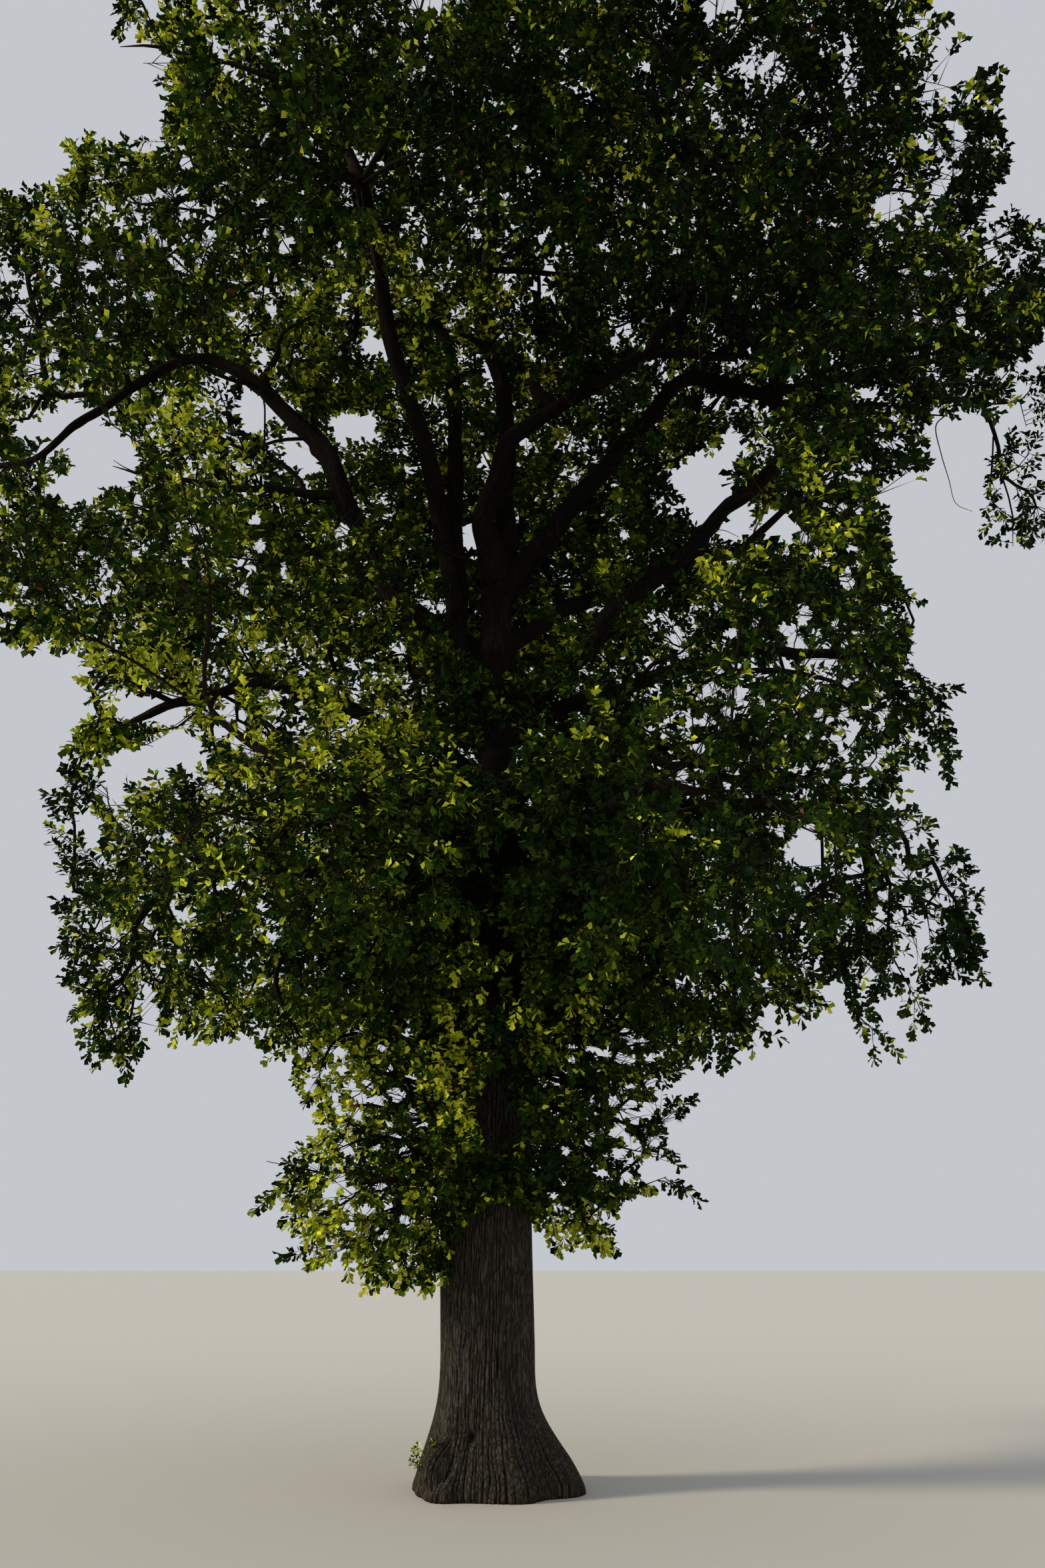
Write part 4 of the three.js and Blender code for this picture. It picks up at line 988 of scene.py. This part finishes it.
# the branches of the front shoulders are slight, as their leaves hide them in the photograph
slight = 1 - 0.58 * smooth(-0.6, -1.5, node_pos[:, 1]) * smooth(4.4, 5.3, node_pos[:, 2])
node_rad = np.maximum(SPRAY_RADIUS * np.maximum(load, 1) ** 0.43 * slight, node_least)

# ---- branches as chains ----------------------------------------------------------------------------------
chains = []
for i in range(len(node_pos)):
    kids = sorted(children[i], key=lambda k: -node_rad[k])
    if not kids:
        continue
    if i >= S:
        kids = kids[1:]                                # the heaviest goes on in its parent's chain
    for k in kids:
        chain = [i, k]
        while children[chain[-1]]:
            chain.append(max(children[chain[-1]], key=lambda q: node_rad[q]))
        chains.append(chain)


def through(points, step):
    """A smooth curve through the points (Catmull-Rom), with a point about every `step`."""
    p = np.vstack([2 * points[0] - points[1], points, 2 * points[-1] - points[-2]])
    out, where = [], []
    for i in range(1, len(p) - 2):
        n = max(1, int(round(np.linalg.norm(p[i + 1] - p[i]) / step)))
        t = (np.arange(n) / n)[:, None]
        out.append(0.5 * (2 * p[i] + (p[i + 1] - p[i - 1]) * t + (2 * p[i - 1] - 5 * p[i] + 4 * p[i + 1] - p[i + 2]) * t ** 2
                          + (3 * p[i] - p[i - 1] - 3 * p[i + 1] + p[i + 2]) * t ** 3))
        where.append(i - 1 + t[:, 0])
    out.append(p[-2][None])
    where.append([len(points) - 1.0])
    return np.vstack(out), np.concatenate(where)


cells_all = cell_of(node_pos)
mass_of_node = label[cells_all].astype(int)
# a node in the open air counts with the mass nearest to it
grown = label.copy()
for _ in range(5):
    for axis in range(3):
        for way_ in (1, -1):
            moved = np.roll(grown, way_, axis)
            grown = np.where(grown < 0, moved, grown)
mass_of_node = np.where(mass_of_node < 0, grown[cells_all], mass_of_node)
mass_of_node = np.where(mass_of_node < 0, mass_of_node[node_parent], mass_of_node)
mass_of_node = np.maximum(mass_of_node, 0)
wood = {k: [[], [], 0] for k in range(len(masses))}
for c, chain in enumerate(chains):
    pts = node_pos[chain].copy()
    rad = node_rad[chain].copy()
    rad[0] = rad[1]
    if chain[0] < S:
        rad[0] = min(start_rad[chain[0]] * 0.8, rad[1] * 1.25)
        if start_tip[chain[0]] not in (None, "trunk") and chain[1] == max(children[chain[0]], key=lambda q: node_rad[q]):
            rad[0] = start_rad[chain[0]]
    rad[-1] = 0.004
    thick = float(rad[1])
    line, where = through(pts, 0.15 if thick > 0.02 else 0.22 if thick > 0.012 else 0.32)
    wide = np.interp(where, np.arange(len(rad)), rad)
    line = crooked(line, 0.018 + 0.22 * thick, 5000 + c, (0.5, 0.22))
    line = line + (pts[-1] - line[-1]) * (np.linspace(0, 1, len(line))[:, None] ** 2)
    v, q = tube(line, wide, 8 if thick > 0.035 else 6 if thick > 0.016 else 3)
    k = int(np.bincount(mass_of_node[chain[1:]]).argmax())
    wood[k][0].append(v)
    wood[k][1].append(q + wood[k][2])
    wood[k][2] += len(v)

for k, (vs, qs, _) in wood.items():
    if not vs:
        continue
    quads = np.vstack(qs)
    faces = np.vstack([quads[:, [0, 1, 2]], quads[:, [0, 2, 3]]])
    ob = new_mesh("branches_" + masses[k][8:], np.vstack(vs), faces)
    ob.data.materials.append(bark_branch)
    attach(ob, "root")

# =======================================================================================================
# shoots and leaves
# =======================================================================================================
# young shoots at the trunk's foot: bearing, height, and how far each reaches out
for bearing, height, far in ((210, 0.20, 0.24), (217, 0.27, 0.28), (228, 0.36, 0.16), (204, 0.24, 0.24), (222, 0.16, 0.26), (198, 0.16, 0.20)):
    a = math.radians(bearing)
    rr = float(trunk_radius(height) + flare_at(np.array([a]), height)[0]) - 0.02
    p = np.array([rr * math.cos(a), rr * math.sin(a), height])
    d = unit(np.array([math.cos(a), math.sin(a), 0.9]))
    base, tip, way = np.vstack([base, p]), np.vstack([tip, p + d * far * 0.7]), np.vstack([way, d])
    tip_node = np.append(tip_node, -1)
    owner = np.append(owner, 0)
n_spray = len(tip)
home = np.where(tip_node < 0, which["low_left"], mass_of_node[np.maximum(tip_node, 0)])
small = np.where(tip_node < 0, 0.5, 1.0)
mid = (base + tip) / 2
side = unit(np.cross(way, r.normal(0, 1, tip.shape)))
up = np.cross(way, side)
a = np.arange(3) * 2 * math.pi / 3
ring = np.cos(a)[None, :, None] * side[:, None, :] + np.sin(a)[None, :, None] * up[:, None, :]
shoot_v = np.concatenate([base[:, None] + ring * 0.006, tip[:, None]], 1)       # n, 4, 3
shoot_f = np.array([[0, 1, 3], [1, 2, 3], [2, 0, 3]])

depth = deep[cell_of(tip)]
# many small leaves where the eye looks, fewer and larger ones inside and behind
near_side = smooth(1.6, 0.2, tip[:, 1]) * smooth(1.15, 0.7, depth) * smooth(16.5, 15.5, tip[:, 2])
n_leaf = np.clip(np.round(r.normal(8.9, 1.4, n_spray) * (1 + 0.46 * near_side) - 3.6 * smooth(0.6, 1.4, depth) - 1.2 * unseen(tip)), 4, 19).astype(int)
spray = np.repeat(np.arange(n_spray), n_leaf)
order = np.concatenate([np.arange(k) for k in n_leaf])
share = order / np.maximum(n_leaf[spray] - 1, 1)
s = 0.30 + 0.70 * share ** 0.62                               # crowded at the shoot's end
foot = np.where((s < 0.5)[:, None], base[spray] + (mid - base)[spray] * (s * 2)[:, None],
                mid[spray] + (tip - mid)[spray] * ((s - 0.5) * 2)[:, None])
spin = order * 2.39996 + r.uniform(0, 6.28, n_spray)[spray] + r.normal(0, 0.25, len(spray))
radial = np.cos(spin)[:, None] * side[spray] + np.sin(spin)[:, None] * up[spray]
open_angle = np.radians(78 - 42 * share + r.normal(0, 9, len(spray)))
blade = np.cos(open_angle)[:, None] * way[spray] + np.sin(open_angle)[:, None] * radial
blade = unit(blade + np.array([0, 0, -0.22]) + r.normal(0, 0.12, blade.shape))
face = np.array([0, 0, 1.0]) + 0.50 * unit(outward[cell_of(foot)] + 1e-4) + r.normal(0, 0.50, blade.shape)
face = unit(face - blade * np.sum(face * blade, 1, keepdims=True))
across = np.cross(face, blade)
# ---- tones, dealt out by spray: painted glow on leaves that the low sun would reach, painted shade that darkens the rest inward ---
there = cover(foot, SUN_THERE)
clump = r.normal(0, 1, len(node_pos))[np.maximum(tip_node, 0)]          # one value for all sprays of a branchlet
# where the tones paint more sunlight or more shade, on the side that is seen: place in the frame, half sizes, more or
# less
SHINE = [
    (330, 1045, 280, 100, 1.9), (300, 630, 160, 70, 1.1), (330, 50, 130, 90, 0.9), (560, 440, 90, 100, 1.3), (90, 240, 90, 60, 1.3),
    (690, 1600, 50, 130, 2.0), (800, 1620, 50, 130, 0.7), (850, 1540, 60, 50, 1.4), (975, 1650, 60, 50, 1.0), (510, 1610, 80, 80, 1.6),
    (860, 1850, 90, 60, 1.2), (1090, 840, 80, 60, 1.8), (900, 720, 80, 50, 0.7), (1310, 740, 60, 50, 0.8), (560, 1130, 110, 100, 0.6),
    (690, 290, 140, 130, -1.2), (860, 390, 120, 110, -1.4), (520, 280, 80, 60, -1.3), (150, 420, 170, 90, -1.2), (1290, 640, 130, 90, -0.5), (790, 1740, 90, 55, -0.6), (1120, 240, 260, 190, -0.5), (760, 150, 150, 90, -0.4), (170, 1180, 120, 130, -0.5), (1440, 170, 80, 70, -1.0), (1260, 500, 150, 120, -0.5), (270, 1210, 90, 70, -0.5), (520, 1730, 60, 130, 0.5), (1060, 350, 200, 150, -0.9), (1200, 60, 150, 120, -1.3),
    (80, 510, 100, 60, -0.8), (250, 850, 260, 60, -0.7), (900, 970, 130, 70, -0.6), (170, 1400, 90, 70, -0.5), (720, 1775, 180, 50, -1.4),
    (1290, 1150, 140, 90, -1.0), (1200, 1430, 70, 50, -0.6), (130, 1160, 90, 60, -0.5), (860, 1750, 70, 50, -0.6), (790, 1530, 80, 50, 0.8), (860, 1310, 70, 60, -0.8), (720, 1150, 90, 110, -0.6), (1150, 520, 220, 120, -0.7),
]
u_at, v_at, _ = on_frame(foot)
shine = sum(g * np.exp(-((u_at - cu) / ru) ** 2 - ((v_at - cv) / rv) ** 2) for cu, cv, ru, rv, g in SHINE)
patch = lumpy(foot, 1.5, 31) + 0.8 * lumpy(foot, 0.7, 32)
each = r.normal(0, 1, n_spray)
reach_in = np.exp(-there / (2.6 + 1.2 * smooth(-0.5, 1.5, foot[:, 1]))) * np.exp(0.60 * clump + 0.40 * each)[spray] * np.exp(0.55 * patch)
seen = smooth(1.5, 0.0, foot[:, 1])
favour = np.exp(seen * shine)
die = np.where(r.uniform(0, 1, len(spray)) < 0.3, r.uniform(0, 1, n_spray)[spray], r.uniform(0, 1, len(spray)))
lit = die < np.clip(0.50 * reach_in * favour, 0, 0.82)
front = smooth(1.5, -3.0, tip[:, 1])
# partly random tone, partly painted shade: tones darken inward, to the right and at the front of the top, and the inner
# fill behind the forks gets lighter tones as painted sunlight
score = (1.50 - 1.05 * smooth(0.25, 1.3, depth) + 0.35 * clump + 0.25 * each + 0.35 * lumpy(tip, 1.3, 21)
         + 0.55 * inner[cell_of(tip)] - (0.06 + 0.10 * smooth(7, 11, tip[:, 2])) * np.maximum(tip[:, 0], -3) - 0.45 * smooth(9.5, 13, tip[:, 2]) * front)
leaf_score = score[spray] + 0.30 * patch + 0.30 * seen * np.clip(shine, -1.5, 1.5) + r.normal(0, 0.66, len(spray))
tone = np.clip(np.round(leaf_score), 0, 3).astype(int)
strong = r.uniform(0, 1, len(spray)) / (0.6 + 0.5 * np.clip(reach_in * favour, 0, 1.2))
# painted sunlight: lit leaves take the sunlit, glow and blaze tones
tone = np.where(lit, np.where(strong < 0.46, BLAZE, np.where(strong < 0.74, GLOW, SUNLIT)), tone)
# painted blue cast of sky light on the right side: the cool tone
cool = (0.30 * tip[:, 0] + 0.6 * r.normal(0, 1, n_spray) > 0.9)
tone = np.where(cool[spray] & ~lit & (tone >= 1) & (tone <= 2) & (r.uniform(0, 1, len(spray)) < 0.5), COOL, tone)
tone = np.where(r.uniform(0, 1, len(spray)) < 0.002, RUST, tone)

size = np.clip(r.normal(0.126, 0.015, len(spray)), 0.085, 0.17) * (0.86 + 0.20 * share) * small[spray]
size *= 1 - 0.17 * near_side[spray] - 0.08 * smooth(-2.0, -4.0, foot[:, 1])
size *= 1 + 0.62 * smooth(0.6, 1.3, deep[cell_of(foot)])
size *= 1 + np.where(inner[cell_of(foot)], 0.14, 0.36 * unseen(foot))
size *= 0.88 + 0.12 * smooth(3.4, 7.0, foot[:, 2])                     # the shoots low on the bole have small leaves
size *= np.where((tone == SUNLIT) | (tone == GLOW) | (tone == BLAZE), 0.86, 1.0)

heart = foot + blade * (size * 0.5)[:, None]
keep = ~in_open(heart, 0, True) & ~(hides_bark(heart) & (r.uniform(0, 1, len(spray)) < 0.93))
spray, foot, blade, face, across, size, tone = (x[keep] for x in (spray, foot, blade, face, across, size, tone))
n = len(spray)
print("leaves", n)

# outlines: base, lobes with a notch between them, and a blunt tip, folded along the midrib. Leaves low on the tree,
# near the eye, have a second notch.
NEAR_LEAF = (np.array([[0, 0, 0], [0.38, 0.23, 0.05], [0.52, 0.13, 0.02], [0.80, 0.30, 0.05], [1.0, -0.03, -0.07], [0.70, -0.32, 0.06]]),
             np.array([[0, 2, 1], [2, 4, 3], [0, 4, 2], [0, 5, 4]]))
FAR_LEAF = (np.array([[0, 0, 0], [0.50, 0.29, 0.06], [0.63, 0.17, 0.02], [1.0, 0.17, -0.04], [0.76, -0.31, 0.05]]),
            np.array([[0, 2, 1], [0, 3, 2], [0, 4, 3]]))
fold = r.uniform(0.2, 2.4, n)
curl = r.uniform(-0.5, 2.2, n)
across = across * (np.where(r.uniform(0, 1, n) < 0.5, -1.0, 1.0) * r.uniform(0.86, 1.14, n))[:, None]
close = (foot[:, 2] < 4.9) & (foot[:, 1] < 0.8)


def leaves(of, outline):
    """Vertices and triangles of the leaves with these numbers."""
    shape_, faces_ = outline
    k = len(shape_)
    local = np.broadcast_to(shape_, (len(of), k, 3)).copy()
    local[:, :, 2] *= np.where(shape_[None, :, 2] < 0, curl[of][:, None], fold[of][:, None])
    local[:, 1:, :2] += r.normal(0, 0.018, (len(of), k - 1, 2))
    local *= size[of][:, None, None]
    v = foot[of][:, None] + local[..., :1] * blade[of][:, None] + local[..., 1:2] * across[of][:, None] + local[..., 2:] * face[of][:, None]
    return v.reshape(-1, 3), (faces_[None] + k * np.arange(len(of))[:, None, None]).reshape(-1, 3), np.repeat(tone[of], len(faces_))


for k, name in enumerate(masses):
    mine = np.where(home[spray] == k)[0]
    if len(mine):
        v1, f1, t1 = leaves(mine[close[mine]], NEAR_LEAF)
        v2, f2, t2 = leaves(mine[~close[mine]], FAR_LEAF)
        ob = new_mesh("leaves_" + name[8:], np.vstack([v1, v2]), np.vstack([f1, f2 + len(v1)]), slots=np.concatenate([t1, t2]), flat=True)
        for m in leaf_materials:
            ob.data.materials.append(m)
        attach(ob, "root")
        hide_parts(name)
    mine = np.where(home == k)[0]
    if len(mine):
        vv = shoot_v[mine].reshape(-1, 3)
        ff = (shoot_f[None] + 4 * np.arange(len(mine))[:, None, None]).reshape(-1, 3)
        ob = new_mesh("twigs_" + name[8:], vv, ff)
        ob.data.materials.append(bark_twig)
        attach(ob, "root")

# dead twigs that hang bare: pixels of the frame; each starts at the wood nearest to its first pixel
DEAD = [
    ([(1404, 640), (1412, 680), (1424, 720), (1434, 755), (1459, 767)], 0.010), ([(1054, 410), (1060, 450), (1049, 500), (1051, 555)], 0.008),
    ([(118, 950), (100, 962), (82, 984)], 0.008), ([(1063, 797), (1085, 795), (1109, 806)], 0.009), ([(205, 709), (185, 700), (170, 690)], 0.012),
    ([(300, 720), (292, 745), (276, 760)], 0.008),
]
u_all, v_all, _ = on_frame(node_pos)
dead_v, dead_f, count_v = [], [], 0
for track, thick in DEAD:
    far = np.hypot(u_all - track[0][0], v_all - track[0][1]) + 12 * np.maximum(node_pos[:, 1] - 0.5, 0)
    start = node_pos[int(np.argmin(far))]
    pts = np.vstack([start] + [on_pixel(uu, vv, start[1] - 0.05 * (i + 1)) for i, (uu, vv) in enumerate(track)])
    line, where = through(pts, 0.07)
    v, q = tube(line, np.interp(where, [0, len(pts) - 1], [thick, 0.003]), 5)
    dead_v.append(v)
    dead_f.append(q + count_v)
    count_v += len(v)
quads = np.vstack(dead_f)
dead = new_mesh("branches_dead", np.vstack(dead_v), np.vstack([quads[:, [0, 1, 2]], quads[:, [0, 2, 3]]]))
dead.data.materials.append(bark_limb_plain)
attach(dead, "root")

# =======================================================================================================
# floor, light
# =======================================================================================================
floor = new_mesh("floor", np.array([[-900, -900, 0], [900, -900, 0], [900, 900, 0], [-900, 900, 0]], float) - [0, 0, 0.002], np.array([[0, 1, 2, 3]]))
floor.data.materials.append(plain("floor_pale", (0.62, 0.60, 0.55), 0.9, 0.1))
floor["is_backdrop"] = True

world = bpy.data.worlds.new("studio")
bpy.context.scene.world = world
world.use_nodes = True
world.node_tree.nodes["Background"].inputs["Color"].default_value = (0.58, 0.60, 0.64, 1)
world.node_tree.nodes["Background"].inputs["Strength"].default_value = 0.95

sun_data = bpy.data.lights.new("key", "SUN")
sun_data.energy = 2.7
sun_data.angle = math.radians(10)
sun_data.color = (1.0, 0.88, 0.68)
key = bpy.data.objects.new("key", sun_data)
key.rotation_euler = Vector((-0.92, -0.20, 0.38)).to_track_quat("Z", "Y").to_euler()
bpy.context.scene.collection.objects.link(key)
bpy.context.scene.view_settings.view_transform = "Standard"

lo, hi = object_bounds()
